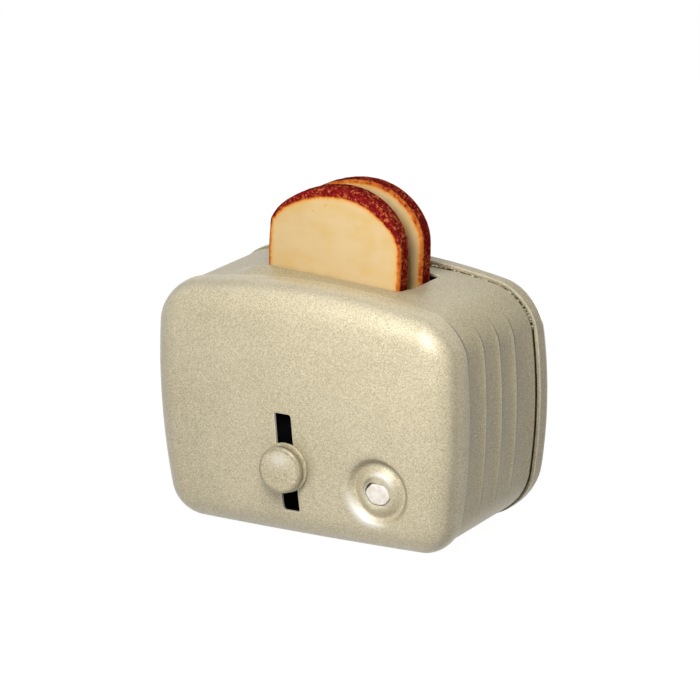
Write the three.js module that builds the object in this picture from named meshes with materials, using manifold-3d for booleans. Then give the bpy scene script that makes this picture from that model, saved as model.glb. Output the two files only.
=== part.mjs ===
// Toy toaster in pressed tinplate, with a lever that lifts two wooden slices of bread and a push button.
// Millimetres, X to the right, Y to the back, Z up. The toaster stands on Z = 0.
// Every depth is counted backwards from the middle of the front face, and the last group centres the whole.

import * as THREE from "three";
import { mergeVertices } from "three/addons/utils/BufferGeometryUtils.js";
import Module from "manifold-3d";

const wasm = await Module();
wasm.setup();

// Shell outline
const bodyWidth = 60;
const bodyHeight = 42.7;
const bodyDepth = 34.3;
const topCrown = 3.7;
const topCornerRadius = 6.7;
const frontFootRadius = 5.4;
const backFootRadius = 10.3;
const leastCornerRadius = 0.5;
const frontSwellShare = 0.054;
const backSwellShare = 0.09;
const topFlareShare = 0.078;

// Front and back covers
const coverSheet = 0.7;
const frontEdgeRadius = 5.3;
const frontRimDepth = 7.4;
const faceDomeAcross = 1;
const faceDomeUp = 0.7;
const backEdgeRadius = 2.4;
const backCoverDepth = 4.5;
const backDome = 0.4;

// Wrap between the covers
const wrapSheet = 0.6;
const wrapStep = 0.4;
const lapClearance = 0.15;
const lapLength = 0.9;
const stepLength = 0.2;
const frontSeam = 0.1;
const backSeam = 0.7;
const fluteDepth = 0.35;
const ridgeShares = [0, 0.263, 0.493, 0.712, 1];
const fluteFootShares = [0.1, 0.3];
const fluteHeadShares = [0.76, 0.95];

// Bread opening in the wrap
const breadSlotLength = 30;
const breadSlotDepth = 13.2;
const breadSlotShift = 0.2;
const breadSlotCorner = 0.9;

// Slices of bread
const sliceWidth = 27.6;
const frontSliceHeight = 30.2;
const rearSliceHeight = 29.75;
const sliceThickness = 3.2;
const sliceGap = 4.15;
const sliceEdge = 0.5;
const sliceShift = 1.1;
const sliceSink = 13.8;
const sliceFrontPlay = 0.35;
const sliceFootShare = 0.457;
const sliceStartShares = [-0.37, 0];
const sliceCurveShares = [
  [0.43, 0, 0.45, 0.03, 0.452, 0.1],
  [0.46, 0.33, 0.497, 0.5, 0.495, 0.67],
  [0.492, 0.81, 0.34, 1, 0.06, 1],
  [-0.14, 1, -0.4, 0.9, -0.478, 0.75],
  [-0.49, 0.69, -0.515, 0.42, -0.49, 0.33],
  [-0.47, 0.25, -0.455, 0.2, -0.452, 0.1],
  [-0.45, 0.03, -0.43, 0, -0.37, 0],
];

// Lever slot and what shows of the lever
const leverSlotWidth = 3.5;
const leverSlotBottom = 5.5;
const leverSlotTop = 23.4;
const leverSlotLean = 1.3;
const leverSlotCorner = 0.55;
const leverAcross = -2.05;
const leverRest = 13.7;
const stemRadius = 0.75;
const stemPlay = 0.06;
const stemChamfer = 0.2;
const stemTail = 0.4;
const knobRadius = 4.2;
const knobBackRadius = 4.05;
const knobLength = 2.6;
const knobEdge = 0.5;
const knobDome = 0.15;
const knobBore = 1.6;
const washerRadius = 4.55;
const washerThickness = 0.5;
const washerEdge = 0.15;
const washerPlay = 0.1;
const stackPlay = 0.05;

// Slide plate behind the front face, and its two rails
const plateSheet = 0.8;
const plateStandoff = 1.2;
const plateWidth = 11;
const plateBelowStem = 3.2;
const plateShoulder = 2.6;
const shelfWidth = 8;
const shelfEnd = 2.4;
const shelfBend = 0.7;
const railSheet = 0.5;
const railPlay = 0.25;
const railLip = 1;
const railBottom = 7.5;
const railLength = 25.5;

// Washer and ring that hold the stem behind the plate
const stemWasherRadius = 1.9;
const stemWasherThickness = 0.3;
const clipRadius = 1.6;
const clipThickness = 0.5;
const clipMouth = 1;

// Tray under the slices, its divider and rivets
const traySheet = 0.5;
const trayPlay = 0.2;
const trayWall = 3;
const trayCorner = 0.9;
const dividerWall = 2.5;
const dividerEndGap = 0.8;
const rivetRadius = 0.6;
const rivetPlay = 0.06;
const rivetHeadRadius = 1.15;
const rivetHead = 0.45;
const rivetSpacing = 6;

// Pressed dish round the push button
const dishAcrossShare = 0.278;
const dishHeight = 11.6;
const dishRadius = 6.2;
const grooveRadius = 5.25;
const grooveDepth = 0.9;
const collarRadius = 4.3;
const collarDrop = 0.1;
const cupRadius = 3;
const cupDepth = 1.1;
const pressLap = 0.15;

// Push button, its spring and the strap behind it
const buttonRadius = 2.25;
const buttonPlay = 0.25;
const buttonSink = 0.05;
const buttonEdge = 0.35;
const flangeRadius = 3.6;
const flangeThickness = 0.8;
const flangePlay = 0.15;
const tailRadius = 1;
const tailPlay = 0.2;
const tailOverhang = 0.6;
const springRadius = 1.75;
const springWire = 0.4;
const springLength = 4.4;
const springEndPlay = 0.1;
const springTurns = 5;
const strapSheet = 0.5;
const strapWidth = 5;
const strapFoot = 2;
const strapClearance = 0.4;
const strapPlay = 0.05;

// Facets
const cornerSteps = 5;
const sideSteps = 7;
const topSteps = 8;
const footSteps = 6;
const edgeSteps = 5;
const faceShares = [0.35, 0.65, 0.87];
const roundSteps = 28;
const smallRoundSteps = 16;
const dishSteps = 36;
const dishRingSteps = 2;
const curveSteps = 8;
const springStepsPerTurn = 8;
const springSides = 5;
const overrun = 1;

// Places that follow from the sizes
const halfWidth = bodyWidth / 2;
const halfHeight = bodyHeight / 2;
const dishAcross = bodyWidth * dishAcrossShare;
const bodyTop = bodyHeight + topCrown;
const backRim = bodyDepth - backCoverDepth;
const wrapFront = frontRimDepth + frontSeam;
const wrapBack = backRim - backSeam;
const breadSlotMiddle = (wrapFront + wrapBack) / 2;
const breadSlotFront = breadSlotMiddle - breadSlotDepth / 2;
const sliceFront = breadSlotFront + sliceFrontPlay;
const sliceBack = sliceFront + sliceThickness + sliceGap + sliceThickness;
const trayFloor = bodyTop - sliceSink;
const trayMiddle = (sliceFront + sliceBack) / 2;
const shelfTop = trayFloor - traySheet;
const plateFront = coverSheet + plateStandoff;
const plateBack = plateFront + plateSheet;
const washerFront = -(washerPlay + washerThickness);
const knobBack = washerFront - stackPlay;
const knobFront = knobBack - knobLength - knobDome;
const frontPlace = -(bodyDepth + knobFront) / 2;

const alongX = new THREE.Matrix4().makeBasis(
  new THREE.Vector3(0, 1, 0),
  new THREE.Vector3(0, 0, 1),
  new THREE.Vector3(1, 0, 0)
);

// Slow start and slow end between two heights.
function ease(value, low, high) {
  return THREE.MathUtils.smoothstep(value, low, high);
}

// A triangle soup made one closed body: doubles merged, empty triangles dropped and faces turned out.
function weld(geometry) {
  const bare = new THREE.BufferGeometry();
  bare.setAttribute("position", geometry.getAttribute("position").clone());
  if (geometry.index) bare.setIndex(geometry.index.clone());
  const merged = mergeVertices(bare);
  const points = merged.getAttribute("position");
  const corners = merged.index.array;
  const kept = [];
  let volume = 0;
  const a = new THREE.Vector3();
  const b = new THREE.Vector3();
  const c = new THREE.Vector3();
  for (let i = 0; i < corners.length; i += 3) {
    const [p, q, r] = [corners[i], corners[i + 1], corners[i + 2]];
    if (p === q || q === r || r === p) continue;
    a.fromBufferAttribute(points, p);
    b.fromBufferAttribute(points, q);
    c.fromBufferAttribute(points, r);
    volume += a.dot(b.cross(c));
    kept.push(p, q, r);
  }
  if (volume < 0) kept.reverse();
  merged.setIndex(kept);
  return merged;
}

function toSolid(geometry) {
  const closed = weld(geometry);
  return new wasm.Manifold(new wasm.Mesh({
    numProp: 3,
    vertProperties: new Float32Array(closed.getAttribute("position").array),
    triVerts: new Uint32Array(closed.index.array),
  }));
}

function toGeometry(solid) {
  const mesh = solid.getMesh();
  const geometry = new THREE.BufferGeometry();
  geometry.setAttribute("position", new THREE.BufferAttribute(mesh.vertProperties, 3));
  geometry.setIndex(new THREE.BufferAttribute(mesh.triVerts, 1));
  return geometry;
}

// A skin over rings of points that all have the same count. A closed chain of rings makes a tube with a wall,
// an open one is finished at each end by a fan to the middle of its last ring.
function skin(rings, closedChain) {
  const count = rings[0].length;
  const points = rings.flat();
  const index = [];
  const pairs = closedChain ? rings.length : rings.length - 1;
  for (let i = 0; i < pairs; i++) {
    const low = i * count;
    const high = ((i + 1) % rings.length) * count;
    for (let j = 0; j < count; j++) {
      const next = (j + 1) % count;
      index.push(low + j, low + next, high + next, low + j, high + next, high + j);
    }
  }
  if (!closedChain) {
    for (const [ring, start] of [[rings[0], 0], [rings.at(-1), (rings.length - 1) * count]]) {
      const middle = ring.reduce((sum, p) => sum.add(p), new THREE.Vector3()).divideScalar(count);
      const tip = points.push(middle) - 1;
      for (let j = 0; j < count; j++) {
        const next = (j + 1) % count;
        if (start === 0) index.push(start + next, start + j, tip);
        else index.push(start + j, start + next, tip);
      }
    }
  }
  const geometry = new THREE.BufferGeometry().setFromPoints(points);
  geometry.setIndex(index);
  return geometry;
}

// How much wider than its base line the shell is at a depth and a height.
function widening(depth, height) {
  const swell = THREE.MathUtils.lerp(frontSwellShare, backSwellShare, depth / bodyDepth);
  const up = height / bodyHeight;
  return 1 + swell * (1 - (2 * up - 1) ** 2) + topFlareShare * (up - 1 / 2);
}

// Outline of the toaster across its depth, drawn in by an inset: a rounded rectangle that swells at mid
// height, flares to the top and is crowned along the top.
function sectionPoints(depth, inset) {
  const footRadius = THREE.MathUtils.lerp(frontFootRadius, backFootRadius, depth / bodyDepth);
  const foot = Math.max(footRadius - inset, leastCornerRadius);
  const head = Math.max(topCornerRadius - inset, leastCornerRadius);
  const side = halfWidth - inset;
  const bottom = inset;
  const top = bodyHeight - inset;
  const flat = [];
  const run = (fromX, fromZ, toX, toZ, steps) => {
    for (let i = 0; i < steps; i++) {
      flat.push([THREE.MathUtils.lerp(fromX, toX, i / steps), THREE.MathUtils.lerp(fromZ, toZ, i / steps)]);
    }
  };
  const bend = (x, z, radius, start) => {
    for (let i = 0; i < cornerSteps; i++) {
      const angle = start + (i / cornerSteps) * Math.PI / 2;
      flat.push([x + radius * Math.cos(angle), z + radius * Math.sin(angle)]);
    }
  };
  run(foot - side, bottom, side - foot, bottom, footSteps);
  bend(side - foot, bottom + foot, foot, -Math.PI / 2);
  run(side, bottom + foot, side, top - head, sideSteps);
  bend(side - head, top - head, head, 0);
  run(side - head, top, head - side, top, topSteps);
  bend(head - side, top - head, head, Math.PI / 2);
  run(-side, top - head, -side, bottom + foot, sideSteps);
  bend(foot - side, bottom + foot, foot, Math.PI);
  return flat.map(([x, z]) => [
    x * widening(depth, z),
    z + topCrown * (1 - (x / halfWidth) ** 2) * z / bodyHeight,
  ]);
}

// How far the domed front face lies back from its middle.
function faceDepth(x, z) {
  return faceDomeAcross * (x / halfWidth) ** 2 + faceDomeUp * ((z - halfHeight) / halfHeight) ** 2;
}

// Depth of the inside of the front cover, on its face and where the face bends back towards the sides.
function coverInside(x, z) {
  const radius = frontEdgeRadius - coverSheet;
  const flat = (halfWidth - frontEdgeRadius) * widening(frontEdgeRadius, z);
  const past = THREE.MathUtils.clamp(Math.abs(x) - flat, 0, radius);
  return faceDepth(x, z) + frontEdgeRadius - Math.sqrt(radius ** 2 - past ** 2);
}

function placed(points, depthAt) {
  return points.map(([x, z]) => new THREE.Vector3(x, depthAt(x, z), z));
}

// One skin of the front cover from the middle of its face to its rim, offset inwards by a thickness.
function frontSkin(thickness) {
  const radius = frontEdgeRadius - thickness;
  const face = sectionPoints(frontEdgeRadius, frontEdgeRadius);
  const rings = faceShares.map((share) => placed(
    face.map(([x, z]) => [x * share, halfHeight + (z - halfHeight) * share]),
    (x, z) => faceDepth(x, z) + thickness
  ));
  for (let i = 0; i <= edgeSteps; i++) {
    const angle = (i / edgeSteps) * Math.PI / 2;
    const depth = frontEdgeRadius - radius * Math.cos(angle);
    const inset = frontEdgeRadius - radius * Math.sin(angle);
    rings.push(placed(sectionPoints(depth, inset), (x, z) => faceDepth(x, z) + depth));
  }
  rings.push(placed(sectionPoints(frontRimDepth, thickness), () => frontRimDepth));
  return rings;
}

// Pressed profile of the dish at a distance from the button's middle: groove, collar and cup.
function pressDepth(radius) {
  const stations = [
    [cupRadius, cupDepth],
    [collarRadius, collarDrop],
    [grooveRadius, grooveDepth],
    [dishRadius, 0],
  ];
  if (radius <= cupRadius) return cupDepth;
  for (let i = 1; i < stations.length; i++) {
    const [nearRadius, nearDepth] = stations[i - 1];
    const [farRadius, farDepth] = stations[i];
    if (radius <= farRadius) {
      return THREE.MathUtils.lerp(nearDepth, farDepth, ease(radius, nearRadius, farRadius));
    }
  }
  return 0;
}

// The dish as a ring of sheet that follows the domed face, with the button's hole in its middle.
function pressedDish() {
  const radii = [buttonRadius + buttonPlay];
  const stations = [cupRadius, collarRadius, grooveRadius, dishRadius];
  radii.push(cupRadius);
  for (let i = 1; i < stations.length; i++) {
    for (let j = 1; j <= dishRingSteps + 1; j++) {
      radii.push(THREE.MathUtils.lerp(stations[i - 1], stations[i], j / (dishRingSteps + 1)));
    }
  }
  radii.push(dishRadius + pressLap);
  const ring = (radius, thickness) => Array.from({ length: dishSteps }, (_, i) => {
    const angle = (i / dishSteps) * 2 * Math.PI;
    const x = dishAcross + radius * Math.cos(angle);
    const z = dishHeight + radius * Math.sin(angle);
    return new THREE.Vector3(x, faceDepth(x, z) + pressDepth(radius) + thickness, z);
  });
  const outside = radii.map((radius) => ring(radius, 0));
  const inside = radii.map((radius) => ring(radius, coverSheet)).reverse();
  return skin([...outside, ...inside], true);
}

// Where the middle of the leaning lever slot lies at a height.
function leverSlotAcross(height) {
  return leverAcross - leverSlotLean * (height - leverRest) / (leverSlotTop - leverSlotBottom);
}

// A closed outline whose corners are rounded off.
function roundedOutline(corners, radius) {
  const shape = new THREE.Shape();
  corners.forEach((corner, i) => {
    const before = corners[(i + corners.length - 1) % corners.length];
    const after = corners[(i + 1) % corners.length];
    const enter = corner.clone().add(before.clone().sub(corner).setLength(radius));
    const leave = corner.clone().add(after.clone().sub(corner).setLength(radius));
    if (i === 0) shape.moveTo(enter.x, enter.y);
    else shape.lineTo(enter.x, enter.y);
    shape.quadraticCurveTo(corner.x, corner.y, leave.x, leave.y);
  });
  shape.closePath();
  return shape;
}

function rectangle(width, height, radius) {
  return roundedOutline([
    new THREE.Vector2(-width / 2, -height / 2),
    new THREE.Vector2(width / 2, -height / 2),
    new THREE.Vector2(width / 2, height / 2),
    new THREE.Vector2(-width / 2, height / 2),
  ], radius);
}

function polygon(points) {
  return new THREE.Shape(points.map(([x, y]) => new THREE.Vector2(x, y)));
}

// A flat outline in X and Z pushed along Y from one depth to another.
function acrossDepth(shape, from, to, curveSegments) {
  const geometry = new THREE.ExtrudeGeometry(shape, { depth: to - from, bevelEnabled: false, curveSegments });
  return geometry.rotateX(Math.PI / 2).translate(0, to, 0);
}

// A flat outline in X and Y pushed up from one height to another.
function upwards(shape, from, to, curveSegments) {
  const geometry = new THREE.ExtrudeGeometry(shape, { depth: to - from, bevelEnabled: false, curveSegments });
  return geometry.translate(0, 0, from);
}

// A flat outline in Y and Z pushed along X from one side to another.
function sideways(shape, from, to, curveSegments) {
  const geometry = new THREE.ExtrudeGeometry(shape, { depth: to - from, bevelEnabled: false, curveSegments });
  return geometry.applyMatrix4(alongX).translate(from, 0, 0);
}

// A turned piece on the Y axis, from its half section as pairs of radius and depth.
function turned(profile, steps) {
  return new THREE.LatheGeometry(profile.map(([radius, depth]) => new THREE.Vector2(radius, depth)), steps);
}

function rod(x, z, radius, from, to, steps) {
  return turned([[0, from], [radius, from], [radius, to], [0, to]], steps).translate(x, 0, z);
}

function frontCover() {
  const pan = toSolid(skin([...frontSkin(0), ...frontSkin(coverSheet).reverse()], false));
  const faceBack = coverSheet + faceDomeAcross + faceDomeUp + overrun;
  const dishHole = toSolid(rod(dishAcross, dishHeight, dishRadius, -overrun, faceBack, dishSteps));
  const half = leverSlotWidth / 2;
  const low = leverSlotAcross(leverSlotBottom);
  const high = leverSlotAcross(leverSlotTop);
  const slot = roundedOutline([
    new THREE.Vector2(low - half, leverSlotBottom),
    new THREE.Vector2(low + half, leverSlotBottom),
    new THREE.Vector2(high + half, leverSlotTop),
    new THREE.Vector2(high - half, leverSlotTop),
  ], leverSlotCorner);
  const slotCut = toSolid(acrossDepth(slot, -overrun, faceBack, 2));
  return toGeometry(pan.subtract(dishHole).add(toSolid(pressedDish())).subtract(slotCut));
}

function backCover() {
  const skinRings = (thickness) => {
    const radius = backEdgeRadius - thickness;
    const rings = [placed(sectionPoints(backRim, thickness), () => backRim)];
    for (let i = 0; i <= edgeSteps; i++) {
      const angle = (i / edgeSteps) * Math.PI / 2;
      const depth = bodyDepth - backDome - backEdgeRadius + radius * Math.sin(angle);
      const inset = backEdgeRadius - radius * Math.cos(angle);
      rings.push(placed(sectionPoints(depth, inset), () => depth));
    }
    const face = sectionPoints(bodyDepth, backEdgeRadius);
    for (const share of faceShares.toReversed()) {
      const depth = bodyDepth - backDome * share ** 2 - thickness;
      const shrunk = face.map(([x, z]) => [x * share, halfHeight + (z - halfHeight) * share]);
      rings.push(placed(shrunk, () => depth));
    }
    return rings;
  };
  return skin([...skinRings(0).reverse(), ...skinRings(coverSheet)], false);
}

// How far the sheet of the wrap is pressed in at a depth: shallow flutes that meet in sharp ridges.
function fluteProfile(depth) {
  const along = (depth - wrapFront) / (wrapBack - wrapFront);
  for (let i = 1; i < ridgeShares.length; i++) {
    if (along > ridgeShares[i - 1] && along < ridgeShares[i]) {
      const share = (along - ridgeShares[i - 1]) / (ridgeShares[i] - ridgeShares[i - 1]);
      return 4 * share * (1 - share);
    }
  }
  return 0;
}

function fluteFade(height) {
  const up = height / bodyHeight;
  return ease(up, ...fluteFootShares) * (1 - ease(up, ...fluteHeadShares));
}

// One ring of the wrap, pressed in on its flanks only.
function wrapRing(depth, inset) {
  const pressed = fluteDepth * fluteProfile(depth);
  return placed(sectionPoints(depth, inset), () => depth).map((point) => {
    point.x -= Math.sign(point.x) * pressed * fluteFade(point.z);
    return point;
  });
}

function bodyWrap() {
  const lapInset = coverSheet + lapClearance;
  const outline = [
    [wrapFront - lapLength, lapInset],
    [wrapFront, lapInset],
    [wrapFront + stepLength, wrapStep],
  ];
  for (let i = 1; i < ridgeShares.length; i++) {
    for (const share of [1 / 3, 2 / 3, 1]) {
      const along = THREE.MathUtils.lerp(ridgeShares[i - 1], ridgeShares[i], share);
      if (along < 1) outline.push([THREE.MathUtils.lerp(wrapFront, wrapBack, along), wrapStep]);
    }
  }
  outline.push([wrapBack - stepLength, wrapStep], [wrapBack, lapInset], [backRim + lapLength, lapInset]);
  const outside = outline.map(([depth, inset]) => wrapRing(depth, inset));
  const inside = outline.map(([depth, inset]) => wrapRing(depth, inset + wrapSheet)).reverse();
  const opening = rectangle(breadSlotLength, breadSlotDepth, breadSlotCorner);
  const cut = upwards(opening, halfHeight, bodyTop + overrun, 2).translate(breadSlotShift, breadSlotMiddle, 0);
  return toGeometry(toSolid(skin([...outside, ...inside], true)).subtract(toSolid(cut)));
}

// A C section open towards the slide plate, side -1 on the left and 1 on the right.
function guideRail(side) {
  const edge = plateWidth / 2;
  const near = edge - railLip;
  const web = edge + railPlay;
  const far = web + railSheet;
  const front = plateFront - railPlay - railSheet;
  const back = plateBack + railPlay + railSheet;
  const section = [
    [near, front], [far, front], [far, back], [near, back],
    [near, back - railSheet], [web, back - railSheet], [web, front + railSheet], [near, front + railSheet],
  ].map(([x, y]) => [leverAcross + side * x, y]);
  return upwards(polygon(section), railBottom, railBottom + railLength, 1);
}

// A folded strip: a wide plate that runs in the rails, narrowed to a shelf that reaches under the tray.
function slidePlate() {
  const low = leverRest - plateBelowStem;
  const back = sliceBack - shelfEnd;
  const outer = shelfBend + plateSheet;
  const fold = new THREE.Shape();
  fold.moveTo(plateFront, low);
  fold.lineTo(plateBack, low);
  fold.lineTo(plateBack, shelfTop - outer);
  fold.absarc(plateBack + shelfBend, shelfTop - outer, shelfBend, Math.PI, Math.PI / 2, true);
  fold.lineTo(back, shelfTop - plateSheet);
  fold.lineTo(back, shelfTop);
  fold.lineTo(plateBack + shelfBend, shelfTop);
  fold.absarc(plateBack + shelfBend, shelfTop - outer, outer, Math.PI / 2, Math.PI, false);
  fold.closePath();
  const side = shelfWidth / 2;
  const strip = toSolid(sideways(fold, leverAcross - side, leverAcross + side, curveSteps / 2));
  const wide = rectangle(plateWidth, shelfTop - plateShoulder - low, shelfBend);
  const plate = acrossDepth(wide, plateFront, plateBack, 2)
    .translate(leverAcross, 0, (low + shelfTop - plateShoulder) / 2);
  const bore = stemRadius + stemPlay;
  const hole = rod(leverAcross, leverRest, bore, plateFront - overrun, plateBack + overrun, smallRoundSteps);
  let solid = strip.add(toSolid(plate)).subtract(toSolid(hole));
  for (const x of rivetPlaces()) solid = solid.subtract(toSolid(rivetHole(x)));
  return toGeometry(solid);
}

function rivetPlaces() {
  return [leverAcross - rivetSpacing / 2, leverAcross + rivetSpacing / 2];
}

function rivetHole(x) {
  const hole = turned([
    [0, shelfTop - plateSheet - overrun],
    [rivetRadius + rivetPlay, shelfTop - plateSheet - overrun],
    [rivetRadius + rivetPlay, trayFloor + traySheet + overrun],
    [0, trayFloor + traySheet + overrun],
  ], smallRoundSteps);
  return hole.rotateX(Math.PI / 2).translate(x, trayMiddle, 0);
}

function breadTray() {
  const length = 2 * (sliceWidth * sliceFootShare + trayPlay);
  const depth = sliceBack - sliceFront + 2 * trayPlay;
  const outside = rectangle(length + 2 * traySheet, depth + 2 * traySheet, trayCorner + traySheet);
  const inside = rectangle(length, depth, trayCorner);
  const block = upwards(outside, shelfTop, trayFloor + trayWall, curveSteps / 2);
  const hollow = upwards(inside, trayFloor, trayFloor + trayWall + overrun, curveSteps / 2);
  let solid = toSolid(block.translate(sliceShift, trayMiddle, 0));
  solid = solid.subtract(toSolid(hollow.translate(sliceShift, trayMiddle, 0)));
  for (const x of rivetPlaces()) solid = solid.subtract(toSolid(rivetHole(x)));
  return toGeometry(solid);
}

// A channel that stands between the slices and keeps them apart.
function trayDivider() {
  const half = sliceGap / 2 - trayPlay;
  const inner = half - traySheet;
  const top = trayFloor + dividerWall;
  const reach = sliceWidth * sliceFootShare - dividerEndGap;
  const section = polygon([
    [trayMiddle - half, trayFloor], [trayMiddle + half, trayFloor], [trayMiddle + half, top],
    [trayMiddle + inner, top], [trayMiddle + inner, trayFloor + traySheet],
    [trayMiddle - inner, trayFloor + traySheet], [trayMiddle - inner, top], [trayMiddle - half, top],
  ]);
  let solid = toSolid(sideways(section, sliceShift - reach, sliceShift + reach, 1));
  for (const x of rivetPlaces()) solid = solid.subtract(toSolid(rivetHole(x)));
  return toGeometry(solid);
}

// A rivet through the shelf, the tray and the divider, with a domed head at each end.
function trayRivet(x) {
  const low = shelfTop - plateSheet;
  const high = trayFloor + traySheet;
  const shoulder = rivetHead / 3;
  const rim = rivetHeadRadius - shoulder;
  const rivet = turned([
    [0, low - rivetHead], [rim, low - rivetHead], [rivetHeadRadius, low - shoulder], [rivetHeadRadius, low],
    [rivetRadius, low], [rivetRadius, high], [rivetHeadRadius, high], [rivetHeadRadius, high + shoulder],
    [rim, high + rivetHead], [0, high + rivetHead],
  ], smallRoundSteps);
  return rivet.rotateX(Math.PI / 2).translate(x, trayMiddle, 0);
}

// A round head with a soft front edge, hollow behind for the stem.
function leverKnob() {
  const front = knobFront + knobDome;
  const arc = Array.from({ length: curveSteps / 2 + 1 }, (_, i) => {
    const angle = (i / (curveSteps / 2)) * Math.PI / 2;
    return [
      knobRadius - knobEdge * (1 - Math.sin(angle)),
      front + knobEdge * (1 - Math.cos(angle)),
    ];
  });
  return turned([
    [0, knobFront],
    [(knobRadius - knobEdge) / 2, knobFront + knobDome / 4],
    ...arc,
    [knobBackRadius, knobBack],
    [stemRadius + stemPlay, knobBack],
    [stemRadius + stemPlay, knobBack - knobBore],
    [0, knobBack - knobBore],
  ], roundSteps).translate(leverAcross, 0, leverRest);
}

function leverWasher() {
  return turned([
    [stemRadius + stemPlay, washerFront],
    [washerRadius - washerEdge, washerFront],
    [washerRadius, washerFront + washerEdge],
    [washerRadius, -washerPlay - washerEdge],
    [washerRadius - washerEdge, -washerPlay],
    [stemRadius + stemPlay, -washerPlay],
    [stemRadius + stemPlay, washerFront],
  ], roundSteps).translate(leverAcross, 0, leverRest);
}

function stemEnd() {
  return clipFront() + clipThickness + stemTail;
}

function leverStem() {
  const front = knobBack - knobBore + stackPlay;
  const back = stemEnd();
  return turned([
    [0, front],
    [stemRadius - stemChamfer, front],
    [stemRadius, front + stemChamfer],
    [stemRadius, back - stemChamfer],
    [stemRadius - stemChamfer, back],
    [0, back],
  ], smallRoundSteps).translate(leverAcross, 0, leverRest);
}

function stemWasher() {
  const front = plateBack + stackPlay;
  const back = front + stemWasherThickness;
  const bore = stemRadius + stemPlay;
  return turned([
    [bore, front], [stemWasherRadius, front], [stemWasherRadius, back], [bore, back], [bore, front],
  ], smallRoundSteps).translate(leverAcross, 0, leverRest);
}

function clipFront() {
  return plateBack + stackPlay + stemWasherThickness + stackPlay;
}

// An open ring pushed on the stem, with its mouth downwards.
function stemClip() {
  const mouth = Math.asin(clipMouth / 2 / (stemRadius + stemPlay));
  const start = mouth - Math.PI / 2;
  const end = 3 * Math.PI / 2 - mouth;
  const ring = new THREE.Shape();
  ring.absarc(0, 0, clipRadius, start, end, false);
  ring.absarc(0, 0, stemRadius + stemPlay, end, start, true);
  ring.closePath();
  const clip = acrossDepth(ring, clipFront(), clipFront() + clipThickness, curveSteps);
  return clip.translate(leverAcross, 0, leverRest);
}

// Where the button's flange starts: just behind the cup of the dish.
function flangeFront() {
  return faceDepth(dishAcross, dishHeight) + cupDepth + coverSheet + faceTilt() + flangePlay;
}

// How much the domed face falls away across the flange.
function faceTilt() {
  const far = faceDepth(dishAcross + flangeRadius, dishHeight - flangeRadius);
  return far - faceDepth(dishAcross, dishHeight);
}

function strapBridge() {
  return flangeFront() + flangeThickness + springLength;
}

function pushButton() {
  const front = faceDepth(dishAcross, dishHeight) + buttonSink;
  const flange = flangeFront();
  const back = flange + flangeThickness;
  const end = strapBridge() + strapSheet + tailOverhang;
  const soft = buttonEdge / 3;
  return turned([
    [0, front],
    [buttonRadius - buttonEdge, front],
    [buttonRadius - soft, front + soft],
    [buttonRadius, front + buttonEdge],
    [buttonRadius, flange],
    [flangeRadius, flange],
    [flangeRadius, back],
    [tailRadius, back],
    [tailRadius, end - stemChamfer],
    [tailRadius - stemChamfer, end],
    [0, end],
  ], smallRoundSteps + curveSteps).translate(dishAcross, 0, dishHeight);
}

// The coil between the button's flange and the strap.
class Coil extends THREE.Curve {
  getPoint(share, target = new THREE.Vector3()) {
    const angle = share * springTurns * 2 * Math.PI;
    const start = flangeFront() + flangeThickness + springEndPlay + springWire / 2;
    const reach = springLength - 2 * springEndPlay - springWire;
    return target.set(
      dishAcross + springRadius * Math.cos(angle),
      start + share * reach,
      dishHeight + springRadius * Math.sin(angle)
    );
  }
}

function buttonSpring() {
  const wire = new THREE.Shape();
  for (let i = 0; i < springSides; i++) {
    const angle = (i / springSides) * 2 * Math.PI;
    const x = springWire / 2 * Math.cos(angle);
    const y = springWire / 2 * Math.sin(angle);
    if (i === 0) wire.moveTo(x, y);
    else wire.lineTo(x, y);
  }
  wire.closePath();
  return new THREE.ExtrudeGeometry(wire, {
    steps: springTurns * springStepsPerTurn,
    extrudePath: new Coil(),
    bevelEnabled: false,
  });
}

// A strap over the back of the button, its two feet on the cover beside the dish.
function buttonStrap() {
  const leg = dishRadius + strapClearance;
  const foot = leg + strapFoot;
  const bridge = strapBridge();
  const back = bridge + strapSheet;
  const low = dishHeight - strapWidth / 2;
  const seat = (x) => coverInside(dishAcross + x, low) + strapPlay;
  const left = seat(-leg);
  const right = seat(foot);
  const section = polygon([
    [-foot, left], [strapSheet - leg, left], [strapSheet - leg, bridge], [leg - strapSheet, bridge],
    [leg - strapSheet, right], [foot, right], [foot, right + strapSheet], [leg, right + strapSheet],
    [leg, back], [-leg, back], [-leg, left + strapSheet], [-foot, left + strapSheet],
  ]);
  const strap = upwards(section, low, low + strapWidth, 1).translate(dishAcross, 0, 0);
  const bore = tailRadius + tailPlay;
  const hole = rod(dishAcross, dishHeight, bore, bridge - overrun, back + overrun, smallRoundSteps);
  return toGeometry(toSolid(strap).subtract(toSolid(hole)));
}

// A slice with a narrow foot, a rounded crown and a flatter left shoulder, its edges softened.
function breadSlice(front, height) {
  const sized = (shares) => shares.map((share, i) => share * (i % 2 === 0 ? sliceWidth : height));
  const shape = new THREE.Shape();
  const [startX, startZ] = sized(sliceStartShares);
  shape.moveTo(startX, startZ);
  shape.lineTo(-startX, startZ);
  for (const curve of sliceCurveShares) shape.bezierCurveTo(...sized(curve));
  const slice = new THREE.ExtrudeGeometry(shape, {
    depth: sliceThickness - 2 * sliceEdge,
    bevelThickness: sliceEdge,
    bevelSize: sliceEdge,
    bevelOffset: -sliceEdge,
    bevelSegments: 2,
    curveSegments: curveSteps,
  });
  return slice.rotateX(Math.PI / 2).translate(sliceShift, front + sliceThickness - sliceEdge, trayFloor);
}

function finish(color, roughness, metalness) {
  return new THREE.MeshStandardMaterial({ color, roughness, metalness });
}

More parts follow.
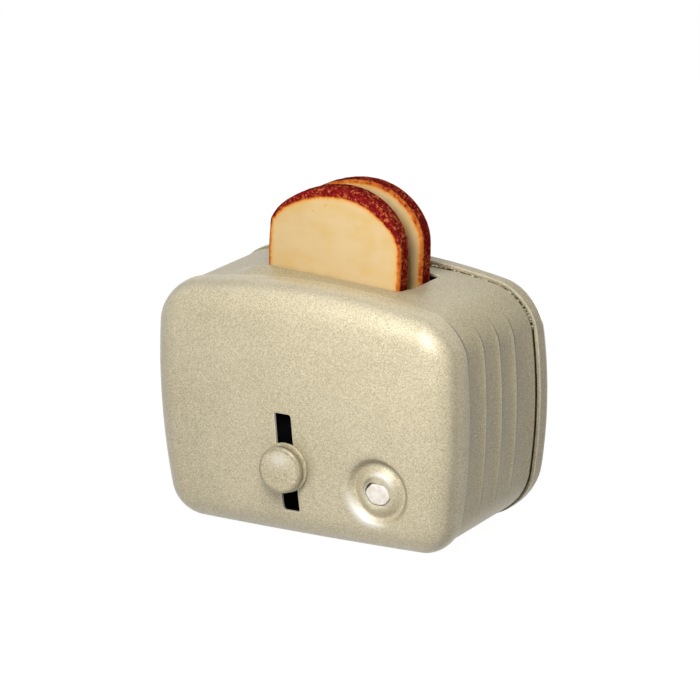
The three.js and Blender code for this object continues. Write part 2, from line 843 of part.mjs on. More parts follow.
const champagne = () => finish(0xcfc4a6, 0.45, 0.75);
const tinplate = () => finish(0x8d8b86, 0.4, 0.9);
const steel = () => finish(0x9a9a98, 0.3, 1);
const cream = () => finish(0xe8e0d2, 0.5, 0);
const toastedWood = () => finish(0xdeba86, 0.7, 0);

function piece(name, geometry, material) {
  const mesh = new THREE.Mesh(weld(geometry), material);
  mesh.name = name;
  return mesh;
}

const toaster = new THREE.Group();
toaster.position.y = frontPlace;

const shell = new THREE.Group();
shell.add(piece("front_cover", frontCover(), champagne()));
shell.add(piece("body_wrap", bodyWrap(), champagne()));
shell.add(piece("back_cover", backCover(), champagne()));
shell.add(piece("guide_rail_left", guideRail(-1), tinplate()));
shell.add(piece("guide_rail_right", guideRail(1), tinplate()));
shell.add(piece("button_strap", buttonStrap(), tinplate()));

const lever = new THREE.Group();
lever.add(piece("slide_plate", slidePlate(), tinplate()));
lever.add(piece("bread_tray", breadTray(), tinplate()));
lever.add(piece("tray_divider", trayDivider(), tinplate()));
lever.add(piece("tray_rivet_left", trayRivet(rivetPlaces()[0]), steel()));
lever.add(piece("tray_rivet_right", trayRivet(rivetPlaces()[1]), steel()));
lever.add(piece("lever_stem", leverStem(), steel()));
lever.add(piece("lever_knob", leverKnob(), champagne()));
lever.add(piece("lever_washer", leverWasher(), champagne()));
lever.add(piece("stem_washer", stemWasher(), steel()));
lever.add(piece("stem_clip", stemClip(), steel()));

const button = new THREE.Group();
button.add(piece("push_button", pushButton(), cream()));
button.add(piece("button_spring", buttonSpring(), steel()));

const bread = new THREE.Group();
bread.add(piece("bread_slice_front", breadSlice(sliceFront, frontSliceHeight), toastedWood()));
bread.add(piece("bread_slice_rear", breadSlice(sliceBack - sliceThickness, rearSliceHeight), toastedWood()));

toaster.add(shell, lever, button, bread);

export default toaster;
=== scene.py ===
"""Toy toaster in champagne painted tinplate, with a lever that lifts two wooden slices of bread.

The pressed shell, the knob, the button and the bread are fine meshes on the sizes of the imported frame. The
mechanism inside keeps the frame's own meshes. Lengths are millimetres unless a name says otherwise, and depths
are counted backwards from the middle of the front face, as the maker's drawing does.
"""

import logging
import math
from collections.abc import Sequence
from dataclasses import dataclass, field
from enum import Enum
from typing import Any

import bmesh
import bpy
import numpy as np
from mathutils import Matrix, Vector, noise
from mathutils.geometry import delaunay_2d_cdt


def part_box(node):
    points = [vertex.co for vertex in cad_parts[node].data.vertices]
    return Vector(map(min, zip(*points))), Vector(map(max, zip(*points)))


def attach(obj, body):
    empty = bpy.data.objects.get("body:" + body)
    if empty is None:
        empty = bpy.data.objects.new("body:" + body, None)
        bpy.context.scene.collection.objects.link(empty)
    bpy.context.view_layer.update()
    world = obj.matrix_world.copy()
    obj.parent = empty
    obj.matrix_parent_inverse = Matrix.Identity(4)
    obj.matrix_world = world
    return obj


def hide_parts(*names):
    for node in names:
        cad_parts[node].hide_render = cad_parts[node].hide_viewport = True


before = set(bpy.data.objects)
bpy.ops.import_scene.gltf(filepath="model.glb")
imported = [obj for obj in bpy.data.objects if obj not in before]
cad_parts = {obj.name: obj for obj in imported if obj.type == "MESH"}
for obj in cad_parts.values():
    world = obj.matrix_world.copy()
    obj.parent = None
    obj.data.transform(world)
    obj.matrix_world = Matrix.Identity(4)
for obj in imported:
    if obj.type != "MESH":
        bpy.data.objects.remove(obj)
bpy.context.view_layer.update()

log = logging.getLogger("toaster")

MM = 0.001
MARK_ATTRIBUTE = "mark"
INSIDE_ATTRIBUTE = "inside"
NOISE_MEAN = 0.5
CREASE_DEG = 38.0
MERGE_MM = 1e-4
JOIN_MM = 1e-6
FRONT_LAP = 6.6
BUTTON_DROP = 0.4
BUTTON_OVAL = 0.1
BUTTON_LOBES = 0.025
BUTTON_LOBE_TURN = 0.6

Rgb = tuple[float, float, float]
Place = tuple[float, float, float]
Span = tuple[float, float]


class Body(Enum):
    """Bodies of the frame that the pieces ride on."""

    SHELL = "root"
    LEVER = "lever"
    BUTTON = "button"
    FRONT_SLICE = "bread_front"
    REAR_SLICE = "bread_rear"


class Slot(Enum):
    """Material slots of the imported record."""

    PAINT = "champagne_paint"
    KNOB = "champagne_knob"
    TIN = "bare_tinplate"
    BLACK = "black_tinplate"
    STEEL = "bright_steel"
    CREAM = "cream_button"
    BREAD = "painted_wood"


class Signal:
    """A socket in arithmetic: every operator adds its Math node to the tree."""

    def __init__(self, graph: "Graph", socket: bpy.types.NodeSocket) -> None:
        """Keeps the socket and the graph that it belongs to."""
        self.graph = graph
        self.socket = socket

    def _math(self, operation: str, *terms: Any) -> "Signal":
        """Adds a Math node.

        Args:
            operation: The node's operation.
            terms: Numbers or signals for its sockets, in order.

        Returns:
            The node's result.
        """
        sockets = dict(enumerate(terms))
        return self.graph.out(self.graph.add("ShaderNodeMath", {"operation": operation}, sockets))

    def __add__(self, other: Any) -> "Signal":
        """Sum."""
        return self._math("ADD", self, other)

    def __radd__(self, other: Any) -> "Signal":
        """Sum with a number in front."""
        return self._math("ADD", other, self)

    def __sub__(self, other: Any) -> "Signal":
        """Difference."""
        return self._math("SUBTRACT", self, other)

    def __rsub__(self, other: Any) -> "Signal":
        """Difference from a number."""
        return self._math("SUBTRACT", other, self)

    def __mul__(self, other: Any) -> "Signal":
        """Product."""
        return self._math("MULTIPLY", self, other)

    def __rmul__(self, other: Any) -> "Signal":
        """Product with a number in front."""
        return self._math("MULTIPLY", other, self)

    def __truediv__(self, other: Any) -> "Signal":
        """Quotient."""
        return self._math("DIVIDE", self, other)

    def __abs__(self) -> "Signal":
        """Size without sign."""
        return self._math("ABSOLUTE", self)

    def sign(self) -> "Signal":
        """Minus one, zero or one."""
        return self._math("SIGN", self)

    def at_most(self, other: Any) -> "Signal":
        """The smaller of the two."""
        return self._math("MINIMUM", self, other)

    def at_least(self, other: Any) -> "Signal":
        """The larger of the two."""
        return self._math("MAXIMUM", self, other)

    def clipped(self) -> "Signal":
        """Kept between 0 and 1."""
        return self.at_least(0.0).at_most(1.0)

    def ease(self, low: Any, high: Any) -> "Signal":
        """Smooth step from 0 to 1.

        Args:
            low: Where it starts to rise.
            high: Where it reaches 1.

        Returns:
            The eased signal.
        """
        settings = {"interpolation_type": "SMOOTHSTEP"}
        sockets = {"Value": self, "From Min": low, "From Max": high}
        return self.graph.out(self.graph.add("ShaderNodeMapRange", settings, sockets))


class Graph:
    """A node tree, with one way to add a node."""

    def __init__(self, tree: bpy.types.NodeTree) -> None:
        """Takes over an empty tree."""
        self.tree = tree

    def out(self, node: bpy.types.Node, key: str | int = 0) -> Signal:
        """One output of a node as a signal."""
        return Signal(self, node.outputs[key])

    def add(
        self,
        kind: str,
        settings: dict[str, Any] | None = None,
        sockets: dict[str | int, Any] | None = None,
    ) -> bpy.types.Node:
        """Adds a node.

        Args:
            kind: The node's type.
            settings: Its properties, such as a Math node's operation, set first.
            sockets: Numbers, colours, signals or sockets for its inputs, by name or number.

        Returns:
            The node.
        """
        node = self.tree.nodes.new(kind)
        for key, value in (settings or {}).items():
            setattr(node, key, value)
        for key, value in (sockets or {}).items():
            source = value.socket if isinstance(value, Signal) else value
            if isinstance(source, bpy.types.NodeSocket):
                self.tree.links.new(source, node.inputs[key])
            else:
                node.inputs[key].default_value = value
        return node


class Shader(Graph):
    """The node tree of one material, with the textures that the finishes share."""

    def __init__(self, name: str) -> None:
        """Makes a material with one Principled shader."""
        self.material = bpy.data.materials.new(name)
        self.material.use_nodes = True
        super().__init__(self.material.node_tree)
        self.tree.nodes.clear()
        self.surface = self.add("ShaderNodeBsdfPrincipled")
        self.add("ShaderNodeOutputMaterial", None, {"Surface": self.surface.outputs[0]})
        sockets = {0: self.add("ShaderNodeTexCoord").outputs["Object"], "Scale": 1 / MM}
        self.millimetres = self.add("ShaderNodeVectorMath", {"operation": "SCALE"}, sockets)

    def mark(self) -> Signal:
        """The mark that the mesh carries: painted highlight and shade, and random tone on the seam drops, on
        paint; distance from the crust on bread.
        """
        return self.out(self.add("ShaderNodeAttribute", {"attribute_name": MARK_ATTRIBUTE}), "Fac")

    def stretched(self, x: float, y: float, z: float) -> Signal:
        """The place on the piece in millimetres, with each axis multiplied."""
        sockets = {0: self.millimetres.outputs[0], 1: (x, y, z)}
        return self.out(self.add("ShaderNodeVectorMath", {"operation": "MULTIPLY"}, sockets))

    def noise(
        self, size: float, detail: float = 2.0, rough: float = 0.5, where: Signal | None = None
    ) -> Signal:
        """Cloudy noise from 0 to 1.

        Args:
            size: Width of a cloud in millimetres.
            detail: How many finer layers it has.
            rough: How strong the finer layers are.
            where: Place to read it at, or None for the piece's own place.

        Returns:
            The noise.
        """
        place = where or self.out(self.millimetres)
        sockets = {"Vector": place, "Scale": 1 / size, "Detail": detail, "Roughness": rough}
        return self.out(self.add("ShaderNodeTexNoise", None, sockets))

    def cells(self, size: float) -> Signal:
        """A random number from 0 to 1 for each small cell.

        Args:
            size: Width of a cell in millimetres.

        Returns:
            The numbers.
        """
        sockets = {"Vector": self.millimetres.outputs[0], "Scale": 1 / size}
        cell = self.add("ShaderNodeTexVoronoi", None, sockets)
        split = self.add("ShaderNodeSeparateColor", None, {0: cell.outputs["Color"]})
        return self.out(split)

    def blend(self, share: Any, low: Any, high: Any) -> Signal:
        """Mixes two colours.

        Args:
            share: How much of the second colour there is.
            low: First colour, a tuple or a signal.
            high: Second colour, a tuple or a signal.

        Returns:
            The mixed colour.
        """
        colours = [(*c, 1.0) if isinstance(c, tuple) else c for c in (low, high)]
        node = self.add("ShaderNodeMix", {"data_type": "RGBA"}, {0: share, 6: colours[0], 7: colours[1]})
        return self.out(node, 2)

    def bump(self, height: Signal, depth: float) -> Signal:
        """A bumped normal from a height signal and its depth in millimetres."""
        sockets = {"Height": height, "Distance": depth * MM, "Strength": 1.0}
        return self.out(self.add("ShaderNodeBump", None, sockets))

    def set(self, **values: Any) -> None:
        """Sets sockets of the Principled shader.

        Args:
            values: A number, a colour or a signal for each socket, with underscores for spaces in its name.
        """
        for name, value in values.items():
            socket = self.surface.inputs[name.replace("_", " ").title().replace("Ior", "IOR")]
            if isinstance(value, Signal):
                self.tree.links.new(value.socket, socket)
            elif isinstance(value, tuple):
                socket.default_value = (*value, 1.0)
            else:
                socket.default_value = value


@dataclass(frozen=True)
class SprayedPaint:
    """Metallic spray paint: a grainy coat of pigment with fine flakes in it."""

    name: str
    light: Rgb = (0.61, 0.53, 0.35)
    dark: Rgb = (0.34, 0.285, 0.165)
    # The light colour below is blended in for painted highlights, the dark one after it for painted shade.
    bare: Rgb = (0.86, 0.84, 0.78)
    painted_shade: Rgb = (0.10, 0.08, 0.05)
    metallic: float = 0.15
    roughness: float = 0.42
    roughness_spread: float = 0.12
    grain: float = 0.13
    grain_depth: float = 0.06
    relief_weights: Span = (0.8, 0.2)
    flake: float = 0.15
    cloud: float = 9.0
    tone_weights: tuple[float, float, float] = (0.65, 0.25, 0.1)
    tone_span: Span = (0.33, 0.67)
    gloss: float = 0.6
    coat_roughness: float = 0.38

    def material(self) -> bpy.types.Material:
        """Mixes the paint.

        Returns:
            The material.
        """
        shader = Shader(self.name)
        grain = shader.noise(self.grain, rough=0.55)
        flake = shader.cells(self.flake)
        cloud = shader.noise(self.cloud, rough=0.4)
        of_grain, of_flake, of_cloud = self.tone_weights
        tone = (grain * of_grain + flake * of_flake + cloud * of_cloud).ease(*self.tone_span)
        mark = shader.mark()
        fresh = shader.blend(tone, self.dark, self.light)
        # Marks above zero blend towards the light colour as painted highlights, marks below zero towards the
        # dark colour as painted shade; the seam drops take both as random tone.
        lightened = shader.blend(mark.clipped(), fresh, self.bare)
        relief = grain * self.relief_weights[0] + flake * self.relief_weights[1]
        shader.set(
            base_color=shader.blend((0 - mark).clipped(), lightened, self.painted_shade),
            metallic=self.metallic,
            roughness=self.roughness + self.roughness_spread * (flake - NOISE_MEAN),
            normal=shader.bump(relief, self.grain_depth),
            coat_weight=self.gloss,
            coat_roughness=self.coat_roughness,
        )
        return shader.material


@dataclass(frozen=True)
class SheetMetal:
    """Bare or blackened sheet, with fine rolling lines and dull patches."""

    name: str
    colour: Rgb = (0.42, 0.41, 0.39)
    metallic: float = 0.9
    roughness: float = 0.38
    roughness_spread: float = 0.2
    specular: float = 0.5
    line: float = 0.08
    line_depth: float = 0.004
    line_stretch: float = 0.05
    patch: float = 2.5
    patch_span: Span = (0.35, 0.7)
    dull_share: float = 0.72

    def material(self) -> bpy.types.Material:
        """Mixes the metal.

        Returns:
            The material.
        """
        shader = Shader(self.name)
        lines = shader.noise(self.line, rough=0.6, where=shader.stretched(1.0, 1.0, self.line_stretch))
        patches = shader.noise(self.patch, detail=3.0)
        darker = tuple(self.dull_share * c for c in self.colour)
        shader.set(
            base_color=shader.blend(patches.ease(*self.patch_span), darker, self.colour),
            metallic=self.metallic,
            roughness=self.roughness + self.roughness_spread * (lines - NOISE_MEAN),
            specular_ior_level=self.specular,
            normal=shader.bump(lines, self.line_depth),
        )
        return shader.material


@dataclass(frozen=True)
class CreamPlastic:
    """Cream button plastic with a soft, slightly uneven face."""

    name: str = "cream_plastic"
    light: Rgb = (0.84, 0.79, 0.72)
    dark: Rgb = (0.74, 0.67, 0.58)
    wave: float = 0.9
    wave_span: Span = (0.35, 0.65)
    wave_depth: float = 0.03
    roughness: float = 0.42
    roughness_spread: float = 0.1

    def material(self) -> bpy.types.Material:
        """Mixes the plastic.

        Returns:
            The material.
        """
        shader = Shader(self.name)
        wave = shader.noise(self.wave)
        shader.set(
            base_color=shader.blend(wave.ease(*self.wave_span), self.dark, self.light),
            roughness=self.roughness + self.roughness_spread * wave,
            normal=shader.bump(wave, self.wave_depth),
        )
        return shader.material


@dataclass(frozen=True)
class PaintedBread:
    """Lacquered wood: a pale crumb with faint grain, an orange rim and a speckled red brown crust."""

    name: str = "painted_bread"
    crumb: Rgb = (0.62, 0.455, 0.235)
    crumb_warm: Rgb = (0.60, 0.41, 0.17)
    toasted: Rgb = (0.68, 0.33, 0.07)
    rim: Rgb = (0.48, 0.10, 0.008)
    crust: Rgb = (0.26, 0.013, 0.011)
    crust_dark: Rgb = (0.12, 0.007, 0.007)
    crust_worn: Rgb = (0.50, 0.12, 0.04)
    fray: float = 0.9
    rim_fray: float = 0.8
    crust_fray: float = 0.9
    streak: float = 1.6
    streak_stretch: float = 0.2
    cloud: float = 5.0
    crumb_weights: Span = (0.3, 0.7)
    crumb_span: Span = (0.38, 0.66)
    spot: float = 1.3
    spot_span: Span = (0.84, 0.87)
    spot_share: float = 0.7
    toasted_span: Span = (0.1, 1.1)
    rim_span: Span = (0.05, 0.5)
    speckle: float = 0.55
    speckle_span: Span = (0.4, 0.6)
    light_patch: float = 1.6
    worn_weights: Span = (0.6, 0.4)
    worn_span: Span = (0.51, 0.62)
    crust_span: Span = (-0.05, 0.12)
    roughness: float = 0.55
    crust_roughness: float = 0.1
    crumb_gloss: float = 0.2
    crumb_relief: float = 0.2
    crust_depth: float = 0.1

    def material(self) -> bpy.types.Material:
        """Mixes the painted wood.

        Returns:
            The material.
        """
        shader = Shader(self.name)
        edge = shader.mark()
        fray = shader.noise(self.fray, detail=4.0, rough=0.65) - NOISE_MEAN
        reach = edge + fray * self.rim_fray
        streak = shader.noise(self.streak, where=shader.stretched(self.streak_stretch, 1.0, 1.0))
        cloud = shader.noise(self.cloud)
        warm = (streak * self.crumb_weights[0] + cloud * self.crumb_weights[1]).ease(*self.crumb_span)
        crumb = shader.blend(warm, self.crumb, self.crumb_warm)
        spot = shader.noise(self.spot, detail=0.0).ease(*self.spot_span)
        spotted = shader.blend(spot * self.spot_share, crumb, self.toasted)
        toasted = shader.blend(1 - reach.ease(*self.toasted_span), spotted, self.toasted)
        rim = shader.blend(1 - reach.ease(*self.rim_span), toasted, self.rim)
        speckle = shader.noise(self.speckle, detail=3.0, rough=0.7)
        light_patch = shader.noise(self.light_patch, detail=3.0, rough=0.6)
        crust = shader.blend(speckle.ease(*self.speckle_span), self.crust_dark, self.crust)
        bare = (speckle * self.worn_weights[0] + light_patch * self.worn_weights[1]).ease(*self.worn_span)
        worn = shader.blend(bare, crust, self.crust_worn)
        on_crust = 1 - (edge + fray * self.crust_fray).ease(*self.crust_span)
        relief = streak * (1 - on_crust) * self.crumb_relief + speckle * on_crust
        shader.set(
            base_color=shader.blend(on_crust, rim, worn),
            roughness=self.roughness + self.crust_roughness * on_crust,
            specular_ior_level=0.0,
            coat_weight=self.crumb_gloss * (1 - on_crust),
            coat_roughness=self.roughness,
            normal=shader.bump(relief, self.crust_depth),
        )
        return shader.material


@dataclass(frozen=True)
class ShellForm:
    """Outline that the two covers and the wrap share: a rounded box that swells, flares and is crowned."""

    width: float = 59.97
    height: float = 42.7
    depth: float = 34.3
    crown: float = 3.7
    top_corner: float = 6.7
    front_foot: float = 5.4
    back_foot: float = 10.3
    least_corner: float = 0.5
    front_swell_share: float = 0.054
    back_swell_share: float = 0.09
    flare_share: float = 0.078
    dome_across: float = 1.0
    dome_up: float = 0.7
    front_edge: float = 5.3
    front_rim: float = 7.4
    back_edge: float = 2.4
    back_rim: float = 29.8
    back_dome: float = 0.4
    cover_sheet: float = 0.7
    corner_steps: int = 16
    side_steps: int = 34
    top_steps: int = 96
    foot_steps: int = 50

    def outline(self, depth: float, inset: float) -> np.ndarray:
        """The outline at a depth.

        Args:
            depth: Depth behind the front face.
            inset: How far it is drawn in from the outside.

        Returns:
            Points in X and Z, against the clock as seen from the front, from the lower left.
        """
        along = depth / self.depth
        foot = max(self.front_foot + (self.back_foot - self.front_foot) * along - inset, self.least_corner)
        head = max(self.top_corner - inset, self.least_corner)
        side = self.width / 2 - inset
        top = self.height - inset
        flat = np.concatenate([
            self._run((foot - side, inset), (side - foot, inset), self.foot_steps),
            self._bend((side - foot, inset + foot), foot, -90),
            self._run((side, inset + foot), (side, top - head), self.side_steps),
            self._bend((side - head, top - head), head, 0),
            self._run((side - head, top), (head - side, top), self.top_steps),
            self._bend((head - side, top - head), head, 90),
            self._run((-side, top - head), (-side, inset + foot), self.side_steps),
            self._bend((foot - side, inset + foot), foot, 180),
        ])
        up = flat[:, 1] / self.height
        swell = self.front_swell_share + (self.back_swell_share - self.front_swell_share) * along
        wide = 1 + swell * (1 - (2 * up - 1) ** 2) + self.flare_share * (up - 0.5)
        raised = flat[:, 1] + self.crown * (1 - (flat[:, 0] / (self.width / 2)) ** 2) * up
        return np.column_stack([flat[:, 0] * wide, raised])

    @staticmethod
    def _run(start: Sequence[float], end: Sequence[float], steps: int) -> np.ndarray:
        """A straight run of points without its last one."""
        return np.linspace(start, end, steps, endpoint=False)

    def _bend(self, middle: Sequence[float], radius: float, start_deg: float) -> np.ndarray:
        """A quarter turn of points without its last one."""
        angle = np.radians(start_deg + np.linspace(0, 90, self.corner_steps, endpoint=False))
        return np.column_stack([middle[0] + radius * np.cos(angle), middle[1] + radius * np.sin(angle)])

    def face_depth(self, x: np.ndarray, z: np.ndarray) -> np.ndarray:
        """How far the domed front face lies back from its middle."""
        middle = self.height / 2
        return self.dome_across * (x / (self.width / 2)) ** 2 + self.dome_up * ((z - middle) / middle) ** 2

    def ring(self, depth: float, inset: float, domed: bool = False) -> np.ndarray:
        """A ring of points round the shell.

        Args:
            depth: Depth behind the front face.
            inset: How far it is drawn in from the outside.
            domed: Whether the dome of the front face sets it back.

        Returns:
            The points.
        """
        flat = self.outline(depth, inset)
        back = self.face_depth(flat[:, 0], flat[:, 1]) if domed else 0.0
        return at_depth(flat, depth + back)

    def past_face(self, flat: np.ndarray) -> np.ndarray:
        """How far points in X and Z lie outside the border where the front edge starts to bend."""
        border = self.outline(0.0, self.front_edge)
        return np.where(within(flat, border), 0.0, loop_distance(flat, border))

    def top_run(self) -> slice:
        """Which points of the outline make the straight top."""
        start = self.foot_steps + self.side_steps + 2 * self.corner_steps
        return slice(start, start + self.top_steps + 1)

    def top_height(self, x: np.ndarray, depth: np.ndarray, inset: float) -> np.ndarray:
        """Height of the top.

        Args:
            x: Places across.
            depth: Depths, one for each place.
            inset: How far the surface is drawn in.

        Returns:
            The heights.
        """
        heights = []
        for across, back in zip(x, depth):
            top = self.outline(float(back), inset)[self.top_run()][::-1]
            heights.append(np.interp(across, top[:, 0], top[:, 1]))
        return np.array(heights)


def at_depth(flat: np.ndarray, depth: float | np.ndarray) -> np.ndarray:
    """Points in X and Z, set at a depth."""
    return np.column_stack([flat[:, 0], np.broadcast_to(depth, len(flat)), flat[:, 1]])


def circle(x: float, z: float, radius: float, steps: int) -> np.ndarray:
    """Points of a circle in X and Z."""
    angle = np.linspace(0, 2 * math.pi, steps, endpoint=False)
    return np.column_stack([x + radius * np.cos(angle), z + radius * np.sin(angle)])


def rounded_loop(corners: np.ndarray, radii: Sequence[float], grow: float) -> np.ndarray:
    """A closed loop with round corners.

    Args:
        corners: Its corners against the clock.
        radii: The radius of each corner.
        grow: How far the loop is moved outwards.

    Returns:
        The points. Their count doesn't depend on how far the loop is moved.
    """
    spacing, steps = 0.5, 7
    arcs = []
    count = len(corners)
    for i, corner in enumerate(corners):
        into = corner - corners[i - 1]
        away = corners[(i + 1) % count] - corner
        into = into / np.linalg.norm(into)
        away = away / np.linalg.norm(away)
        out_into = np.array([into[1], -into[0]])
        out_away = np.array([away[1], -away[0]])
        moved = corner + grow * (out_into + out_away) / (1 + out_into @ out_away)
        radius = radii[i] + grow
        turn = math.acos(float(np.clip(into @ away, -1, 1)))
        start = moved - into * radius * math.tan(turn / 2)
        middle = start - out_into * radius
        first = math.atan2(out_into[1], out_into[0])
        angle = first + np.linspace(0, turn, steps + 1)
        arcs.append(middle + radius * np.column_stack([np.cos(angle), np.sin(angle)]))
    points = []
    for i, arc in enumerate(arcs):
        points.append(arc)
        following = arcs[(i + 1) % count][0]
        pieces = max(1, math.ceil(np.linalg.norm(corners[(i + 1) % count] - corners[i]) / spacing))
        points.append(np.linspace(arc[-1], following, pieces, endpoint=False)[1:])
    return np.concatenate(points)


def within(points: np.ndarray, loop: np.ndarray) -> np.ndarray:
    """Finds the points that lie inside a closed loop.

    Args:
        points: The points.
        loop: Corners of the loop, in order.

    Returns:
        True for each point inside.
    """
    x, z = points[:, 0][:, None], points[:, 1][:, None]
    after = np.roll(loop, -1, axis=0)
    crosses = (loop[:, 1] > z) != (after[:, 1] > z)
    rise = after[:, 1] - loop[:, 1]
    rise = np.where(rise == 0, 1, rise)
    at = loop[:, 0] + (z - loop[:, 1]) / rise * (after[:, 0] - loop[:, 0])
    return (crosses & (x < at)).sum(axis=1) % 2 == 1


def loop_distance(points: np.ndarray, loop: np.ndarray) -> np.ndarray:
    """How far points lie from a closed loop.

    Args:
        points: The points.
        loop: Corners of the loop, in order.

    Returns:
        The distance of each point.
    """
    run = np.roll(loop, -1, axis=0) - loop
    to_point = points[:, None, :] - loop
    share = np.clip((to_point * run).sum(axis=2) / (run ** 2).sum(axis=1), 0, 1)
    return np.linalg.norm(to_point - share[:, :, None] * run, axis=2).min(axis=1)


def grid(loop: np.ndarray, spacing: float) -> np.ndarray:
    """Points of a square grid over a loop's box.

    Args:
        loop: The loop.
        spacing: Width of a square.

    Returns:
        The points, row by row.
    """
    low, high = loop.min(axis=0), loop.max(axis=0)
    across = np.arange(low[0], high[0], spacing)
    up = np.arange(low[1], high[1], spacing)
    return np.array(np.meshgrid(across, up)).reshape(2, -1).T


def rolled_edge(sheet: float, roll: float) -> list[Span]:
    """Section of a cut edge with both its corners rounded.

    Args:
        sheet: Thickness of the sheet.
        roll: Radius of the corners.

    Returns:
        Pairs of how far outside the cut a point lies and how deep in the sheet.
    """
    steps = 4
    angle = np.linspace(0, math.pi / 2, steps + 1)
    near = [(roll * (1 - math.sin(a)), roll * (1 - math.cos(a))) for a in angle]
    return near + [(out, sheet - down) for out, down in reversed(near)]


def triangles_between(plane: np.ndarray, outer: np.ndarray, holes: Sequence[np.ndarray]) -> np.ndarray:
    """Joins points of a plane into triangles.

    Args:
        plane: The points.
        outer: Numbers of the points of the outer loop, in order.
        holes: The same for each hole.

    Returns:
        Point numbers of the triangles inside the outer loop and outside the holes.
    """
    edges = [pair for loop in (outer, *holes) for pair in zip(loop.tolist(), np.roll(loop, -1).tolist())]
    points = [Vector(p) for p in plane]
    made, _, faces, source, _, _ = delaunay_2d_cdt(points, edges, [], 0, JOIN_MM)
    numbers = np.array([s[0] for s in source])
    places = np.array([tuple(p) for p in made])
    found = np.array(faces)
    middles = places[found].mean(axis=1)
    keep = within(middles, plane[outer])
    for hole in holes:
        keep &= ~within(middles, plane[hole])
    return numbers[found[keep]]


class Draft:
    """Points and faces of one closed body while it is drawn."""

    def __init__(self) -> None:
        """Starts empty, on the first of the body's finishes."""
        self.points: list[np.ndarray] = []
        self.faces: list[np.ndarray] = []
        self.finishes: list[int] = []
        self.rims: list[np.ndarray] = []
        self.count = 0
        self.finish = 0

    def add(self, points: np.ndarray, rim: float | np.ndarray = 0.0) -> np.ndarray:
        """Adds points.

        Args:
            points: The points.
            rim: The mark that each of them, or all of them, carries.

        Returns:
            Their numbers.
        """
        self.points.append(points)
        self.rims.append(np.broadcast_to(rim, len(points)))
        self.count += len(points)
        return np.arange(self.count - len(points), self.count)

    def face(self, corners: np.ndarray) -> None:
        """Adds faces, one a row."""
        self.faces.append(corners)
        self.finishes += [self.finish] * len(corners)

    def bridge(self, near: np.ndarray, far: np.ndarray, gap: np.ndarray | None = None) -> None:
        """Joins two rings with four-cornered faces.

        Args:
            near: Numbers of the first ring.
            far: Numbers of the second ring.
            gap: Which faces to leave out, or None.
        """
        quads = np.column_stack([near, np.roll(near, -1), np.roll(far, -1), far])
        self.face(quads if gap is None else quads[~gap])

    def chain(self, rings: Sequence[np.ndarray]) -> None:
        """Joins each ring with the next."""
        for near, far in zip(rings, rings[1:]):
            self.bridge(near, far)

    def fan(self, ring: np.ndarray, tip: np.ndarray, rim: float = 0.0) -> None:
        """Closes a ring to one point."""
        number = self.add(tip[None, :], rim)[0]
        self.face(np.column_stack([ring, np.roll(ring, -1), np.full(len(ring), number)]))

    def piece(
        self, name: str, materials: Sequence[bpy.types.Material], crease_deg: float = CREASE_DEG
    ) -> bpy.types.Object:
        """Makes the object.

        Args:
            name: Its name.
            materials: Its finishes.
            crease_deg: Bends sharper than this stay crisp.

        Returns:
            The object, at the origin, with its place in its mesh.
        """
        mesh = bpy.data.meshes.new(name)
        points = np.concatenate(self.points)
        moved = (points + [0.0, front_place(), 0.0]) * MM
        mesh.from_pydata(moved.tolist(), [], [row.tolist() for part in self.faces for row in part])
        mesh.polygons.foreach_set("material_index", self.finishes)
        rim = mesh.attributes.new(MARK_ATTRIBUTE, "FLOAT", "POINT")
        rim.data.foreach_set("value", np.concatenate(self.rims).astype(np.float32))
        work = bmesh.new()
        work.from_mesh(mesh)
        bmesh.ops.remove_doubles(work, verts=work.verts, dist=MERGE_MM * MM)
        bmesh.ops.recalc_face_normals(work, faces=work.faces)
        work.to_mesh(mesh)
        work.free()
        for material in materials:
            mesh.materials.append(material)
        return smooth_object(name, mesh, crease_deg)


def linked(name: str, data: bpy.types.ID) -> bpy.types.Object:
    """Puts an object into the scene.

    Args:
        name: Its name.
        data: Its mesh, light or camera.

    Returns:
        The object.
    """
    made = bpy.data.objects.new(name, data)
    bpy.context.scene.collection.objects.link(made)
    return made


def smooth_object(name: str, mesh: bpy.types.Mesh, crease_deg: float) -> bpy.types.Object:
    """Puts a mesh into the scene, smooth but for its sharp bends.

    Args:
        name: Name of the object.
        mesh: The mesh.
        crease_deg: Bends sharper than this stay crisp.

    Returns:
        The object.
    """
    mesh.polygons.foreach_set("use_smooth", [True] * len(mesh.polygons))
    mesh.set_sharp_from_angle(angle=math.radians(crease_deg))
    return linked(name, mesh)


def front_place() -> float:
    """Row place in millimetres of the middle of the front face, from the wrap's front lap."""
    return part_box("body_wrap")[0].y / MM - FRONT_LAP


def hand_over(piece: bpy.types.Object, body: Body, slot: Slot, *nodes: str) -> None:
    """Lets a finished piece ride on its body and stand for CAD nodes.

    Args:
        piece: The piece.
        body: The body that it moves with.
        slot: The record's slot of its main finish; not used.
        nodes: The nodes that it stands for.
    """
    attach(piece, body.value)
    if nodes:
        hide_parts(*nodes)
    log.info("%s: %d faces on %s", piece.name, len(piece.data.polygons), body.value)


def button_round(angle: np.ndarray) -> np.ndarray:
    """How far the rim of the button reaches in each direction, as a share of its radius."""
    return 1 + BUTTON_OVAL * np.cos(2 * angle) + BUTTON_LOBES * np.cos(6 * angle + BUTTON_LOBE_TURN)


def turned(profile: Sequence[Span], x: float, z: float, steps: int) -> Draft:
    """A turned piece on an axis along the depth.

    Args:
        profile: Pairs of radius and depth, from the axis to the axis or closed on itself.
        x: Place of the axis across.
        z: Height of the axis.
        steps: Steps of the round.

    Returns:
        The draft of the piece.
    """
    draft = Draft()
    rings = []
    tips = {}
    for i, (radius, depth) in enumerate(profile):
        if radius == 0:
            tips[i] = np.array([x, depth, z])
            continue
        rings.append(draft.add(at_depth(circle(x, z, radius, steps), depth)))
    draft.chain(rings)
    if tips:
        draft.fan(rings[0], tips[0])
        draft.fan(rings[-1], tips[len(profile) - 1])
    else:
        draft.bridge(rings[-1], rings[0])
    return draft


